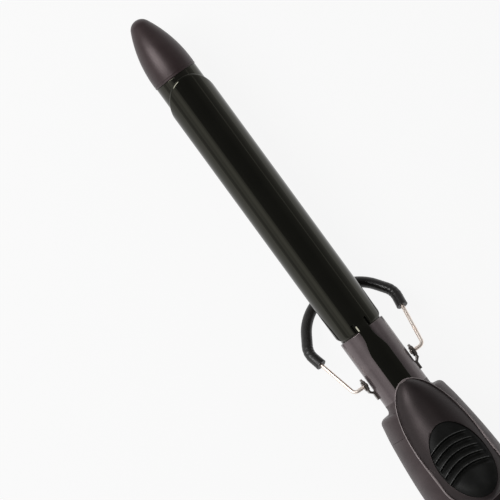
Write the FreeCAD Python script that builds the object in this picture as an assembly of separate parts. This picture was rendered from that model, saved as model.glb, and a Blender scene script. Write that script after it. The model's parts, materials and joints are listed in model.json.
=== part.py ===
"""Curling iron with a spring clip, thumb lever, folding wire stand and cord swivel.

Millimetres. +X points to the cool tip, +Z up to the clip, +Y to the left of someone who holds the iron
tip forward. The origin is on the resting surface, below the middle of the overall length. Along the iron,
places are stations: distances behind the very end of the cool tip. Heights are measured from the barrel's
axis while the model is built, and save() lifts everything to rest on z = 0.
"""
import FreeCAD, Part
import math
import os

V = FreeCAD.Vector
os.makedirs("parts", exist_ok=True)

# ---- driving dimensions ---------------------------------------------------------------------------
BARREL_R = 9.5
BARREL_WALL = 0.9
NECK_R = 10.4
SHEET = 0.75
FIT = 0.05
GAP = 0.35
WALL = 2.0

OVERALL_LENGTH = 312.0
TIP_END = 28.1
BARREL_END = 157.5
CLIP_FRONT = 29.9
CLIP_REAR = 156.2
LEVER_NOSE = 182.0
LEVER_TAIL = 242.5
GUARD_FRONT = 187.6
GUARD_FACE = 191.6
SHELL_FRONT = 202.0
SHELL_REAR = 298.0
CAP_REAR = 302.0

HINGE_AT = 199.0
HINGE_Z = 14.0
PIN_R = 1.25

STAND_AT = 175.8
STAND_TILT = 25.0
STAND_REACH = 43.7
WIRE_R = 0.8
SLEEVE_R = 2.3

# The sleeve and the flat under the handle both touch the table, so the iron lies level.
AXIS_HEIGHT = STAND_REACH * math.sin(math.radians(STAND_TILT)) + SLEEVE_R

BARREL_BORE = BARREL_R - BARREL_WALL
CLIP_IN = BARREL_R + GAP
CLIP_OUT = CLIP_IN + SHEET
TONGUE_IN = NECK_R + GAP
TONGUE_OUT = TONGUE_IN + SHEET
HANDLE_TOP = 11.2
PARTING_Z = -5.7
SWIVEL_Z = -5.0


# ---- helpers --------------------------------------------------------------------------------------
def at(station):
    """X of a station behind the tip's end."""
    return OVERALL_LENGTH / 2 - station


def save(name, shape):
    """Lift a finished piece onto the table and write it."""
    placed = shape.copy()
    placed.translate(V(0, 0, AXIS_HEIGHT))
    placed.exportStep(f"parts/{name}.step")


def rod(start, end, radius, y=0.0, z=0.0):
    """Cylinder along the barrel between two stations."""
    return Part.makeCylinder(radius, end - start, V(at(end), y, z), V(1, 0, 0))


def tube(start, end, outer, inner, y=0.0, z=0.0):
    return rod(start, end, outer, y, z).cut(rod(start, end, inner, y, z))


def rod_y(station, z, low, high, radius):
    """Cylinder across the iron."""
    return Part.makeCylinder(radius, high - low, V(at(station), low, z), V(0, 1, 0))


def post(station, y, low, high, radius):
    """Upright cylinder."""
    return Part.makeCylinder(radius, high - low, V(at(station), y, low), V(0, 0, 1))


def block(start, end, y0, y1, z0, z1):
    return Part.makeBox(end - start, y1 - y0, z1 - z0, V(at(end), y0, z0))


def both_sides(shape):
    """A piece and its mirror image across the iron's middle plane."""
    return shape.fuse(shape.mirror(V(0, 0, 0), V(0, 1, 0)))


def arc3(a, b, c):
    return Part.Arc(a, b, c).toShape()


def line(a, b):
    return Part.makeLine(a, b)


def quarter(start, corner, end):
    """Quarter of an ellipse from start to end, with its axes along the corner's two sides."""
    curve = Part.BezierCurve()
    curve.setPoles([start, corner, end])
    curve.setWeight(2, math.sqrt(0.5))
    return curve.toShape()


def revolve(profile):
    """Solid of revolution about the barrel's axis from edges in the XZ plane."""
    face = Part.Face(Part.Wire(profile))
    return face.revolve(V(0, 0, 0), V(1, 0, 0), 360)


def arch(start, end, outer, inner, half_angle):
    """Stretch of a tube's wall, centred on the top."""
    ring = tube(start, end, outer, inner)
    reach = outer * 2
    left = V(at(start), reach * math.sin(half_angle), reach * math.cos(half_angle))
    right = V(at(start), -left.y, left.z)
    centre = V(at(start), 0, 0)
    wedge = Part.makePolygon([centre, left, V(at(start), 0, reach * 2), right, centre])
    return ring.common(Part.Face(wedge).extrude(V(start - end, 0, 0)))


def rounded_path(corners, radii):
    """Wire of straight runs joined by tangent arcs; the first and last corners are its ends."""
    edges = []
    last = corners[0]
    for before, corner, after, radius in zip(corners, corners[1:], corners[2:], radii):
        back = (before - corner).normalize()
        onward = (after - corner).normalize()
        half = back.getAngle(onward) / 2
        reach = radius / math.tan(half)
        bisector = (back + onward).normalize()
        middle = corner + bisector * (radius / math.sin(half) - radius)
        start = corner + back * reach
        end = corner + onward * reach
        if last.distanceToPoint(start) > 1e-4:
            edges.append(line(last, start))
        edges.append(arc3(start, middle, end))
        last = end
    if last.distanceToPoint(corners[-1]) > 1e-4:
        edges.append(line(last, corners[-1]))
    return Part.Wire(edges)


def sweep(path, radius):
    """Round bar along a path."""
    first = path.Edges[0]
    start = first.valueAt(first.FirstParameter)
    along = first.tangentAt(first.FirstParameter)
    profile = Part.Wire([Part.makeCircle(radius, start, along)])
    return path.makePipeShell([profile], True, True)


# ---- cool tip -------------------------------------------------------------------------------------
TIP_BASE_R = 9.7
TIP_NOSE_R = 4.7
TIP_OGIVE_R = 53.0
SPIGOT_LENGTH = 3.0
ANCHOR_AT = TIP_END + SPIGOT_LENGTH
ANCHOR_THICK = 1.5
SCREW_R = 1.1


def tip_profile():
    """Ball nose, tangent ogive and short straight base, closed along the axis."""
    centre_z = TIP_BASE_R - TIP_OGIVE_R
    # The ball's centre lies where the ogive's radius passes through the axis.
    lean = math.acos(-centre_z / (TIP_OGIVE_R - TIP_NOSE_R))
    ogive_at = TIP_NOSE_R + (TIP_OGIVE_R - TIP_NOSE_R) * math.sin(lean)
    touch = V(at(ogive_at) + TIP_OGIVE_R * math.sin(lean), 0, centre_z + TIP_OGIVE_R * math.cos(lean))
    half = lean / 2
    ogive_mid = V(at(ogive_at) + TIP_OGIVE_R * math.sin(half), 0, centre_z + TIP_OGIVE_R * math.cos(half))
    ball_x = touch.x - TIP_NOSE_R * math.sin(lean)
    nose = V(ball_x + TIP_NOSE_R, 0, 0)
    mid_angle = (math.pi / 2 + lean) / 2
    ball_mid = V(ball_x + TIP_NOSE_R * math.sin(mid_angle), 0, TIP_NOSE_R * math.cos(mid_angle))
    base_top = V(at(TIP_END), 0, TIP_BASE_R)
    base_axis = V(at(TIP_END), 0, 0)
    return [
        arc3(nose, ball_mid, touch),
        arc3(touch, ogive_mid, V(at(ogive_at), 0, TIP_BASE_R)),
        line(V(at(ogive_at), 0, TIP_BASE_R), base_top),
        line(base_top, base_axis),
        line(base_axis, nose),
    ]


def make_tip():
    solid = revolve(tip_profile())
    hollow = tube(17, TIP_END, 7.2, 3.2)
    spigot = tube(TIP_END, ANCHOR_AT, BARREL_BORE - FIT, 7.2)
    boss = rod(TIP_END - 3, ANCHOR_AT, 3.2)
    pilot = rod(20, ANCHOR_AT + 1, SCREW_R + FIT)
    save("cool_tip", solid.cut(hollow).fuse([spigot, boss]).cut(pilot).removeSplitter())
    anchor = rod(ANCHOR_AT, ANCHOR_AT + ANCHOR_THICK, BARREL_BORE - FIT)
    save("tip_anchor", anchor.cut(rod(ANCHOR_AT, ANCHOR_AT + ANCHOR_THICK, SCREW_R + 0.3)))
    head_at = ANCHOR_AT + ANCHOR_THICK
    save("tip_screw", rod(21, head_at, SCREW_R).fuse(rod(head_at, head_at + 1.6, 2.2)).removeSplitter())


# ---- barrel and heater ----------------------------------------------------------------------------
HEATER_FRONT = 44.0
HEATER_REAR = 146.0
PLATE_HALF = 6.0
PLATE_THICK = 2.6
FILM = 0.25
LEAD_R = 0.9
LEAD_Y = 3.0
BOARD_FRONT = 230.0
BOARD_REAR = 277.0
BOARD_Z = -9.0
BOARD_THICK = 1.6


def make_barrel():
    save("barrel_tube", tube(TIP_END, BARREL_END, BARREL_R, BARREL_BORE))


def make_heater():
    half = PLATE_THICK / 2
    plate = block(HEATER_FRONT + 6, HEATER_REAR - 6, -PLATE_HALF, PLATE_HALF, -half, half)
    save("heater_plate", plate)
    wide = PLATE_HALF + FILM
    thick = half + FILM
    skin = block(HEATER_FRONT + 4, HEATER_REAR - 4, -wide, wide, -thick, thick)
    core = block(HEATER_FRONT, HEATER_REAR, -PLATE_HALF, PLATE_HALF, -half, half)
    save("heater_insulation", skin.cut(core))
    spreader = rod(HEATER_FRONT, HEATER_REAR, BARREL_BORE - FIT)
    upper = block(HEATER_FRONT, HEATER_REAR, -BARREL_R, BARREL_R, half + FILM, BARREL_R)
    save("heat_spreader_upper", spreader.common(upper))
    save("heat_spreader_lower", spreader.common(upper.mirror(V(0, 0, 0), V(0, 0, 1))))


def make_leads():
    """Two insulated leads from the heater, through the neck, to the circuit board's front edge."""
    fuse_front = 150.0
    fuse_rear = 160.0
    end_z = BOARD_Z + BOARD_THICK / 2
    leads = []
    for side, start in ((-1, HEATER_REAR - 3.5), (1, fuse_rear)):
        y = side * LEAD_Y
        corners = [V(at(start), y, 0), V(at(212), y, 0), V(at(224), y, end_z), V(at(BOARD_FRONT), y, end_z)]
        leads.append(sweep(rounded_path(corners, [6, 6]), LEAD_R))
    leads.append(rod(HEATER_REAR - 3.5, fuse_front, LEAD_R, LEAD_Y))
    save("heater_leads", Part.makeCompound(leads))
    save("thermal_fuse", rod(fuse_front, fuse_rear, 1.9, LEAD_Y))


# ---- neck and stand -------------------------------------------------------------------------------
NECK_BORE = 7.0
# The sleeve's lip reaches over the barrel's end, close up to the clip.
NECK_LIP = 156.6
NECK_STEP_R = 9.6
NECK_REAR = 214.0
BASE_FLAT_Z = 9.0
BASE_FRONT = 195.5
BAND_FRONT = 179.5
BAND_REAR = 183.5
BAND_OUT = NECK_R + 0.9
EAR_IN = 11.8
EAR_THICK = 0.8
EAR_HALF = 3.3
EYELET_R = 1.5


def make_neck():
    sleeve = rod(NECK_LIP, GUARD_FRONT, NECK_R)
    sleeve = sleeve.makeChamfer(0.3, [e for e in sleeve.Edges if e.CenterOfMass.x > at(NECK_LIP + 0.1)])
    body = sleeve.cut(rod(NECK_LIP - 1, BARREL_END, BARREL_R)).fuse([
        rod(BARREL_END - 10, BARREL_END, BARREL_BORE - FIT),
        rod(GUARD_FRONT, NECK_REAR, NECK_STEP_R),
    ])
    body = body.cut(rod(BARREL_END - 10, NECK_REAR, NECK_BORE))
    body = body.cut(block(BASE_FRONT, NECK_REAR, -12, 12, BASE_FLAT_Z, 12))
    for station in RIVETS_AT:
        body = body.cut(post(station, 0, 9.2, 12, RIVET_HEAD_R + 0.4))
    body = body.cut(post(SCREW_AT, 0, 6, 12, SCREW_R))
    body = body.cut(post((BAND_FRONT + BAND_REAR) / 2, 0, -12, -6, SCREW_R))
    save("neck_sleeve", body.removeSplitter())


def make_stand_bracket():
    band = tube(BAND_FRONT, BAND_REAR, BAND_OUT, NECK_R + FIT)
    band = band.common(block(BAND_FRONT, BAND_REAR, -12, 12, -12, 1.5))
    mid = (BAND_FRONT + BAND_REAR) / 2
    band = band.cut(post(mid, 0, -12, -9, SCREW_R + 0.1))
    ear = block(STAND_AT - EAR_HALF, STAND_AT + EAR_HALF, EAR_IN, EAR_IN + EAR_THICK, -2.6, 2.6)
    ear = ear.makeFillet(2.4, [e for e in ear.Edges if is_across(e) and e.CenterOfMass.x > at(STAND_AT)])
    inner = NECK_R + 0.15
    neck = [(STAND_AT + EAR_HALF - 0.6, EAR_IN), (BAND_FRONT + 0.8, inner), (BAND_REAR, inner),
            (BAND_REAR, BAND_OUT - 0.1), (BAND_FRONT + 1.0, BAND_OUT - 0.1),
            (STAND_AT + EAR_HALF, EAR_IN + EAR_THICK), (STAND_AT + EAR_HALF - 0.6, EAR_IN + EAR_THICK)]
    outline = Part.makePolygon([V(at(s), y, -2.6) for s, y in neck + neck[:1]])
    joggle = Part.Face(outline).extrude(V(0, 0, 4.1))
    joggle = joggle.cut(rod(BAND_FRONT - 6, BAND_REAR + 1, NECK_R + FIT))
    side = ear.fuse(joggle).cut(rod_y(STAND_AT, 0, EAR_IN - 1, EAR_IN + 2, EYELET_R))
    save("stand_bracket", band.fuse(both_sides(side)).removeSplitter())
    head = post(mid, 0, -BAND_OUT - 1.3, -BAND_OUT, 2.3)
    save("stand_screw", head.fuse(post(mid, 0, -BAND_OUT, -8.2, SCREW_R - FIT)).removeSplitter())


def is_across(edge):
    """True for a straight edge along Y."""
    return abs(edge.tangentAt(edge.FirstParameter).y) > 0.99


def make_eyelets():
    flange = 0.5
    eyelet = rod_y(STAND_AT, 0, EAR_IN - flange, EAR_IN + EAR_THICK + flange, EYELET_R)
    for low in (EAR_IN - flange, EAR_IN + EAR_THICK):
        eyelet = eyelet.fuse(rod_y(STAND_AT, 0, low, low + flange, 2.2))
    eyelet = eyelet.cut(rod_y(STAND_AT, 0, EAR_IN - 2, EAR_IN + 3, WIRE_R + FIT)).removeSplitter()
    save("stand_eyelets", Part.makeCompound([eyelet, eyelet.mirror(V(0, 0, 0), V(0, 1, 0))]))


ELBOW_Y = 17.4
SHOULDER = V(26.8, 22.1, 0)
NOSE_HALF = 11.7
SLEEVE_START = 19.0
SHOULDER_R = 9.0
ELBOW_R = 2.2
# The two nose arcs meet on the middle plane, so each one's tangent is half the nose's width.
NOSE_TURN = math.pi / 2 - math.atan2(SHOULDER.y - NOSE_HALF, STAND_REACH - SHOULDER.x)
NOSE_BEND_R = NOSE_HALF / math.tan(NOSE_TURN / 2)


def stand_path(first, radii):
    """Half of the stand's centreline from its first points to the nose, then its mirror image."""
    half = first + [SHOULDER, V(STAND_REACH, NOSE_HALF, 0)]
    corners = half + [V(p.x, -p.y, 0) for p in reversed(half)]
    return rounded_path(corners, radii + radii[::-1])


def place_stand(shape):
    """From the stand's own plane, where x is the distance from its pivot, to its place under the barrel."""
    shape.rotate(V(0, 0, 0), V(0, 1, 0), STAND_TILT)
    shape.translate(V(at(STAND_AT), 0, 0))
    return shape


def make_stand():
    wire_start = [V(0, NECK_R + 0.5, 0), V(0, ELBOW_Y, 0)]
    wire = sweep(stand_path(wire_start, [ELBOW_R, SHOULDER_R, NOSE_BEND_R]), WIRE_R)
    save("stand_wire", place_stand(wire))
    slope = (SHOULDER.y - ELBOW_Y) / SHOULDER.x
    sleeve_start = [V(SLEEVE_START, ELBOW_Y + slope * SLEEVE_START, 0)]
    path = stand_path(sleeve_start, [SHOULDER_R, NOSE_BEND_R])
    save("stand_sleeve", place_stand(sweep(path, SLEEVE_R).cut(sweep(path, WIRE_R))))


# ---- clip -----------------------------------------------------------------------------------------
TONGUE_HALF = 4.25
TONGUE_NECK_HALF = 2.5
TONGUE_NECK_AT = 159.0
TONGUE_WIDE_AT = 168.0
TONGUE_REAR = 201.4
TONGUE_ARC = 26.0
SPOON_ARC = 88.0
RAMP_START = 151.5
RAMP_END = 157.2
SLOT_FRONT = 152.3
SLOT_WIDTH = 1.2
KNUCKLE_R = 2.4
COIL_NOTCH = 196.3
RIVETS_AT = (189.6, 193.4)
RIVET_R = 1.2
RIVET_HEAD_R = 2.0
SCREW_AT = 207.0


def clip_plan():
    """Outline of the clip seen from above, as a tall prism: spoon, neck and tongue."""
    radius = CLIP_OUT
    centre = CLIP_FRONT + radius
    corner = 2.3
    shoulder_y = radius - corner
    slot_y = TONGUE_NECK_HALF + SLOT_WIDTH
    p = [
        V(at(centre), radius, 0), V(at(CLIP_FRONT), 0, 0), V(at(centre), -radius, 0),
        V(at(CLIP_REAR - corner), -radius, 0), V(at(CLIP_REAR), -shoulder_y, 0),
        V(at(CLIP_REAR), -slot_y, 0), V(at(SLOT_FRONT), -slot_y, 0),
        V(at(SLOT_FRONT), -TONGUE_NECK_HALF, 0), V(at(TONGUE_NECK_AT), -TONGUE_NECK_HALF, 0),
        V(at(TONGUE_WIDE_AT), -TONGUE_HALF, 0),
        V(at(TONGUE_REAR), -TONGUE_HALF, 0),
    ]
    edges = [arc3(p[0], p[1], p[2]), line(p[2], p[3]), quarter(p[3], V(p[4].x, p[3].y, 0), p[4])]
    edges += [line(a, b) for a, b in zip(p[4:], p[5:])]
    mirrored = [edge.mirror(V(0, 0, 0), V(0, 1, 0)) for edge in edges[1:]]
    edges.append(line(p[-1], V(p[-1].x, TONGUE_HALF, 0)))
    wire = Part.Wire(Part.__sortEdges__(edges + mirrored))
    return Part.Face(wire).extrude(V(0, 0, 40))


def tongue_ramp():
    """Joggle that lifts the sheet from the clip's radius to the tongue's."""
    half_angle = math.radians(TONGUE_ARC)
    wires = []
    for station, inner in ((RAMP_START, CLIP_IN), (RAMP_END, TONGUE_IN)):
        outer = inner + SHEET
        lean = V(0, math.sin(half_angle), math.cos(half_angle))
        other = V(0, -lean.y, lean.z)
        origin = V(at(station), 0, 0)
        top = V(0, 0, 1)
        wires.append(Part.Wire([
            arc3(origin + lean * outer, origin + top * outer, origin + other * outer),
            line(origin + other * outer, origin + other * inner),
            arc3(origin + other * inner, origin + top * inner, origin + lean * inner),
            line(origin + lean * inner, origin + lean * outer),
        ]))
    return Part.makeLoft(wires, True, True)


def make_clip():
    spoon = arch(CLIP_FRONT - 1, CLIP_REAR, CLIP_OUT, CLIP_IN, math.radians(SPOON_ARC))
    spoon = spoon.cut(block(RAMP_START, CLIP_REAR, -TONGUE_NECK_HALF - 0.5, TONGUE_NECK_HALF + 0.5, 0, 15))
    tongue = arch(RAMP_END, TONGUE_REAR, TONGUE_OUT, TONGUE_IN, math.radians(TONGUE_ARC))
    clip = spoon.fuse([tongue_ramp(), tongue]).common(clip_plan())
    # Behind the rivets only the two knuckle lugs go on, with the spring's coil between them.
    lug_z = TONGUE_IN - 0.05
    lug_in = TONGUE_HALF - SHEET
    clip = clip.cut(block(COIL_NOTCH, TONGUE_REAR + 1, -lug_in, lug_in, 5, TONGUE_OUT + 1))
    clip = clip.cut(block(COIL_NOTCH, TONGUE_REAR + 1, -TONGUE_HALF - 1, TONGUE_HALF + 1, 5, lug_z))
    lug = block(COIL_NOTCH - 0.8, TONGUE_REAR, lug_in, TONGUE_HALF, lug_z, HINGE_Z)
    lug = lug.fuse(rod_y(HINGE_AT, HINGE_Z, lug_in, TONGUE_HALF, KNUCKLE_R))
    clip = clip.fuse(both_sides(lug)).cut(rod_y(HINGE_AT, HINGE_Z, -6, 6, PIN_R + FIT))
    for station in RIVETS_AT:
        clip = clip.cut(post(station, 0, 9, 13, RIVET_R))
    save("clip_spoon", clip.removeSplitter())


# ---- lever ----------------------------------------------------------------------------------------
LEVER_HALF = 13.9
LEVER_WIDE_AT = 216.0
LEVER_ROUND_AT = LEVER_TAIL - LEVER_HALF
LEVER_BASE_Z = 11.85
LEVER_SLOPE = math.tan(math.radians(14))
LEVER_BEND_AT = 199.0
LEVER_BEND = 5.0
RIM = 1.1
CROWN = 6.6
LEVER_WALL = 2.1
PAD_FRONT = 205.2
PAD_REAR = 239.5
PAD_HALF = 11.0
PAD_DEPTH = 1.2
BOSS_R = 2.3


def lever_half_width(station):
    """Egg plan: half an ellipse at the nose, straight sides, half a circle at the tail."""
    if station < LEVER_WIDE_AT:
        reach = (LEVER_WIDE_AT - station) / (LEVER_WIDE_AT - LEVER_NOSE)
    elif station > LEVER_ROUND_AT:
        reach = (station - LEVER_ROUND_AT) / LEVER_HALF
    else:
        reach = 0.0
    return LEVER_HALF * math.sqrt(max(0.0, 1 - reach * reach))


def lever_base(station):
    """Height of the lever's lower edge: level over the neck, then rising to the tail."""
    past = station - LEVER_BEND_AT
    return LEVER_BASE_Z + LEVER_SLOPE * (past + math.sqrt(past * past + LEVER_BEND ** 2)) / 2 - 0.1


def lever_crown(station):
    """Height of the dome above the rim: full in the middle and falling away at both ends."""
    return CROWN * (lever_half_width(station) / LEVER_HALF) ** 0.8


def dome_section(station, inset, drop):
    """Closed section of the lever: flat base, short upright rim and elliptical dome."""
    w = lever_half_width(station) - inset
    low = lever_base(station) - drop
    rim = lever_base(station) + RIM
    top = rim + lever_crown(station) - inset
    x = at(station)
    return Part.Wire([
        line(V(x, -w, low), V(x, w, low)),
        line(V(x, w, low), V(x, w, rim)),
        quarter(V(x, w, rim), V(x, w, top), V(x, 0, top)),
        quarter(V(x, 0, top), V(x, -w, top), V(x, -w, rim)),
        line(V(x, -w, rim), V(x, -w, low)),
    ])


def lever_solid(inset, drop, front, rear):
    """Dome through sections that crowd together at the two round ends."""
    count = 13
    stations = [
        front + (rear - front) * (1 - math.cos(math.pi * i / (count - 1))) / 2 for i in range(count)
    ]
    return Part.makeLoft([dome_section(s, inset, drop) for s in stations], True, False)


def pad_pocket(clearance, depth):
    """Solid that follows the dome's surface under the thumb pad's oval, sunk by depth."""
    middle = (PAD_FRONT + PAD_REAR) / 2
    length = (PAD_REAR - PAD_FRONT) / 2 - clearance
    oval = Part.Ellipse(V(at(middle), 0, 0), length, PAD_HALF - clearance).toShape()
    prism = Part.Face(Part.Wire([oval])).extrude(V(0, 0, 50))
    under = lever_solid(0.0, 1.0, LEVER_NOSE + 0.25, LEVER_TAIL - 0.2)
    under.translate(V(0, 0, -depth))
    return prism, under


def make_lever():
    outer = lever_solid(0.0, 0.0, LEVER_NOSE + 0.25, LEVER_TAIL - 0.2)
    cavity = lever_solid(LEVER_WALL, 1.0, LEVER_NOSE + 2.6, LEVER_TAIL - 2.2)
    prism, under = pad_pocket(0.0, PAD_DEPTH)
    pocket = outer.common(prism).cut(under)
    cover = outer.cut(cavity)
    bosses = [post(s, 0, TONGUE_OUT, lever_base(s) + 4.5, BOSS_R) for s in RIVETS_AT]
    cover = cover.fuse(bosses)
    for station in RIVETS_AT:
        cover = cover.cut(post(station, 0, TONGUE_OUT - 1, lever_base(station) + 3.2, RIVET_R))
    save("lever_cover", cover.cut(pocket).removeSplitter())
    pad_prism, _ = pad_pocket(0.1, PAD_DEPTH)
    save("thumb_pad", pocket.common(pad_prism))
    rivets = []
    for station in RIVETS_AT:
        head_z = TONGUE_IN - 0.25
        head = post(station, 0, head_z - 0.6, head_z, RIVET_HEAD_R)
        shank = post(station, 0, head_z, lever_base(station) + 3.0, RIVET_R - FIT)
        rivets.append(head.fuse(shank).removeSplitter())
    save("lever_rivets", Part.makeCompound(rivets))


# ---- hinge ----------------------------------------------------------------------------------------
BRACKET_IN = 4.7
BRACKET_THICK = 0.8
BRACKET_REAR = 210.0


def make_hinge():
    outer = BRACKET_IN + BRACKET_THICK
    base = block(HINGE_AT - 2.2, BRACKET_REAR, -outer, outer, BASE_FLAT_Z, BASE_FLAT_Z + 0.8)
    ear = block(HINGE_AT - 2.2, HINGE_AT + 2.2, BRACKET_IN, outer, BASE_FLAT_Z, HINGE_Z)
    ear = ear.fuse(rod_y(HINGE_AT, HINGE_Z, BRACKET_IN, outer, 2.2))
    bracket = base.fuse(both_sides(ear)).cut(post(SCREW_AT, 0, 8, 12, SCREW_R + 0.1))
    save("hinge_bracket", bracket.cut(rod_y(HINGE_AT, HINGE_Z, -8, 8, PIN_R)).removeSplitter())
    save("hinge_pin", rod_y(HINGE_AT, HINGE_Z, -outer - 0.6, outer + 0.6, PIN_R))
    head_z = BASE_FLAT_Z + 0.8
    screw = post(SCREW_AT, 0, head_z, head_z + 0.9, 2.0).fuse(post(SCREW_AT, 0, 6.4, head_z, SCREW_R - FIT))
    save("bracket_screw", screw.removeSplitter())


SPRING_WIRE_R = 0.4
SPRING_COIL_R = 1.9
SPRING_PITCH = 1.0
SPRING_TURNS = 3
SPRING_LEG = 6.0
LEG_RISE = 18.0
LEG_FALL = 14.0


def make_spring():
    """Torsion spring: coils on the pin, one leg rising under the lever and one falling to the bracket."""
    # The last half turn stops short by the angle between the two legs.
    turns = SPRING_TURNS + 0.5 - (LEG_RISE + LEG_FALL) / 360
    height = SPRING_PITCH * turns
    helix = Part.makeHelix(SPRING_PITCH, height, SPRING_COIL_R).Edges[0]
    spring = sweep(Part.Wire([helix]), SPRING_WIRE_R)
    for parameter, outward in ((helix.FirstParameter, -1), (helix.LastParameter, 1)):
        along = helix.tangentAt(parameter) * outward
        spring = spring.fuse(Part.makeCylinder(SPRING_WIRE_R, SPRING_LEG, helix.valueAt(parameter), along))
    spring = spring.removeSplitter()
    spring.translate(V(0, 0, -height / 2))
    spring.rotate(V(0, 0, 0), V(1, 0, 0), -90)
    spring.rotate(V(0, 0, 0), V(0, 1, 0), LEG_RISE - 90)
    spring.translate(V(at(HINGE_AT), 0, HINGE_Z))
    save("clip_spring", spring)


# ---- handle ---------------------------------------------------------------------------------------
# The belly is drawn a little below the table's level and cut off there, which makes the resting flat.
BELLY = AXIS_HEIGHT + 0.3
# station, half-width, top, bottom of the handle's outside
HANDLE = (
    (GUARD_FACE, 15.2, 10.2, -18.2),
    (SHELL_FRONT, 17.0, HANDLE_TOP, -20.0),
    (222.0, 19.0, HANDLE_TOP, -BELLY),
    (240.0, 19.5, HANDLE_TOP, -BELLY),
    (258.0, 19.0, HANDLE_TOP, -BELLY),
    (280.0, 16.6, 10.0, -19.6),
    (SHELL_REAR, 13.6, 7.0, -17.4),
)
TOP_FLAT = 4.0
BASE_FLAT = 7.0
SLOT_HALF = 6.6
SLOT_REAR = 211.5
SCREWS = ((221.0, 9.0), (281.5, 8.0))
SWITCH_AT = 261.0
SWITCH_TRAVEL = 6.0
LENS_AT = 246.4


def handle_section(row, inset):
    """Rounded section with a small flat on top and the resting flat below."""
    station, half, top, low = row
    x = at(station)
    w = half - inset
    high = top - inset
    bottom = low + inset
    mid = PARTING_Z
    return Part.Wire([
        line(V(x, -BASE_FLAT, bottom), V(x, BASE_FLAT, bottom)),
        quarter(V(x, BASE_FLAT, bottom), V(x, w, bottom), V(x, w, mid)),
        quarter(V(x, w, mid), V(x, w, high), V(x, TOP_FLAT, high)),
        line(V(x, TOP_FLAT, high), V(x, -TOP_FLAT, high)),
        quarter(V(x, -TOP_FLAT, high), V(x, -w, high), V(x, -w, mid)),
        quarter(V(x, -w, mid), V(x, -w, bottom), V(x, -BASE_FLAT, bottom)),
    ])


def handle_solid(rows, inset):
    solid = Part.makeLoft([handle_section(row, inset) for row in rows], True, False)
    front, rear = rows[0][0], rows[-1][0]
    return solid.common(block(front, rear, -30, 30, -AXIS_HEIGHT + inset, 30))


def make_guard():
    guard = handle_solid(HANDLE[:2], 0.0)
    front = [e for e in guard.Edges if abs(e.CenterOfMass.x - at(GUARD_FACE)) < 0.3]
    guard = guard.makeFillet(1.9, front)
    fillet_r = 2.6
    x0 = at(GUARD_FACE)
    low = V(x0 + fillet_r, 0, NECK_R)
    high = V(x0, 0, NECK_R + fillet_r)
    mid = V(x0 + fillet_r * (1 - math.sqrt(0.5)), 0, NECK_R + fillet_r * (1 - math.sqrt(0.5)))
    front_low = V(at(GUARD_FRONT), 0, NECK_R)
    inner = NECK_STEP_R + FIT
    cove = revolve([
        line(V(at(GUARD_FRONT), 0, inner), front_low), line(front_low, low), arc3(low, mid, high),
        line(high, V(x0 - 1, 0, high.z)), line(V(x0 - 1, 0, high.z), V(x0 - 1, 0, inner)),
        line(V(x0 - 1, 0, inner), V(at(GUARD_FRONT), 0, inner)),
    ])
    guard = guard.fuse(cove)
    hollow = handle_solid(HANDLE[:2], WALL).common(block(195.5, SHELL_FRONT, -30, 30, -30, 30))
    hollow = hollow.cut(rod(190, SHELL_FRONT, NECK_STEP_R + WALL))
    guard = guard.cut(hollow).cut(rod(GUARD_FRONT - 1, SHELL_FRONT, inner))
    slot = block(GUARD_FRONT - 1, SHELL_FRONT, -SLOT_HALF, SLOT_HALF, 0, 20)
    save("front_guard", guard.cut(slot).removeSplitter())


def make_shells():
    rows = HANDLE[1:]
    shell = handle_solid(rows, 0.0).cut(handle_solid(rows, WALL))
    span = (SHELL_FRONT, SHELL_REAR, -30, 30)
    upper = shell.common(block(*span, PARTING_Z, 30))
    lower = shell.common(block(*span, -30, PARTING_Z))
    inner = handle_solid(rows, WALL / 2)
    for station, offset in SCREWS:
        for y in (-offset, offset):
            upper = upper.fuse(post(station, y, PARTING_Z, 20, 2.8).common(inner))
            upper = upper.cut(post(station, y, PARTING_Z - 1, 3, SCREW_R))
            lower = lower.fuse(post(station, y, -30, PARTING_Z, 3.4).common(inner))
            lower = lower.cut(post(station, y, -30, PARTING_Z, SCREW_R + 0.3))
            lower = lower.cut(post(station, y, -30, -13.5, 2.6))
    upper = upper.cut(block(SHELL_FRONT - 1, SLOT_REAR, -SLOT_HALF, SLOT_HALF, 0, 20))
    stem_slot = block(SWITCH_AT - SWITCH_TRAVEL - 2.8, SWITCH_AT + 2.8, -1.9, 1.9, 0, 20)
    upper = upper.cut(stem_slot).cut(post(LENS_AT, 0, 0, 20, 1.7))
    save("handle_upper_shell", upper.removeSplitter())
    save("handle_lower_shell", lower.removeSplitter())
    screws = []
    for station, offset in SCREWS:
        for y in (-offset, offset):
            shank = post(station, y, -13.5, 2.5, SCREW_R - FIT)
            screws.append(post(station, y, -15.4, -13.5, 2.4).fuse(shank).removeSplitter())
    save("handle_screws", Part.makeCompound(screws))


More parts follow.
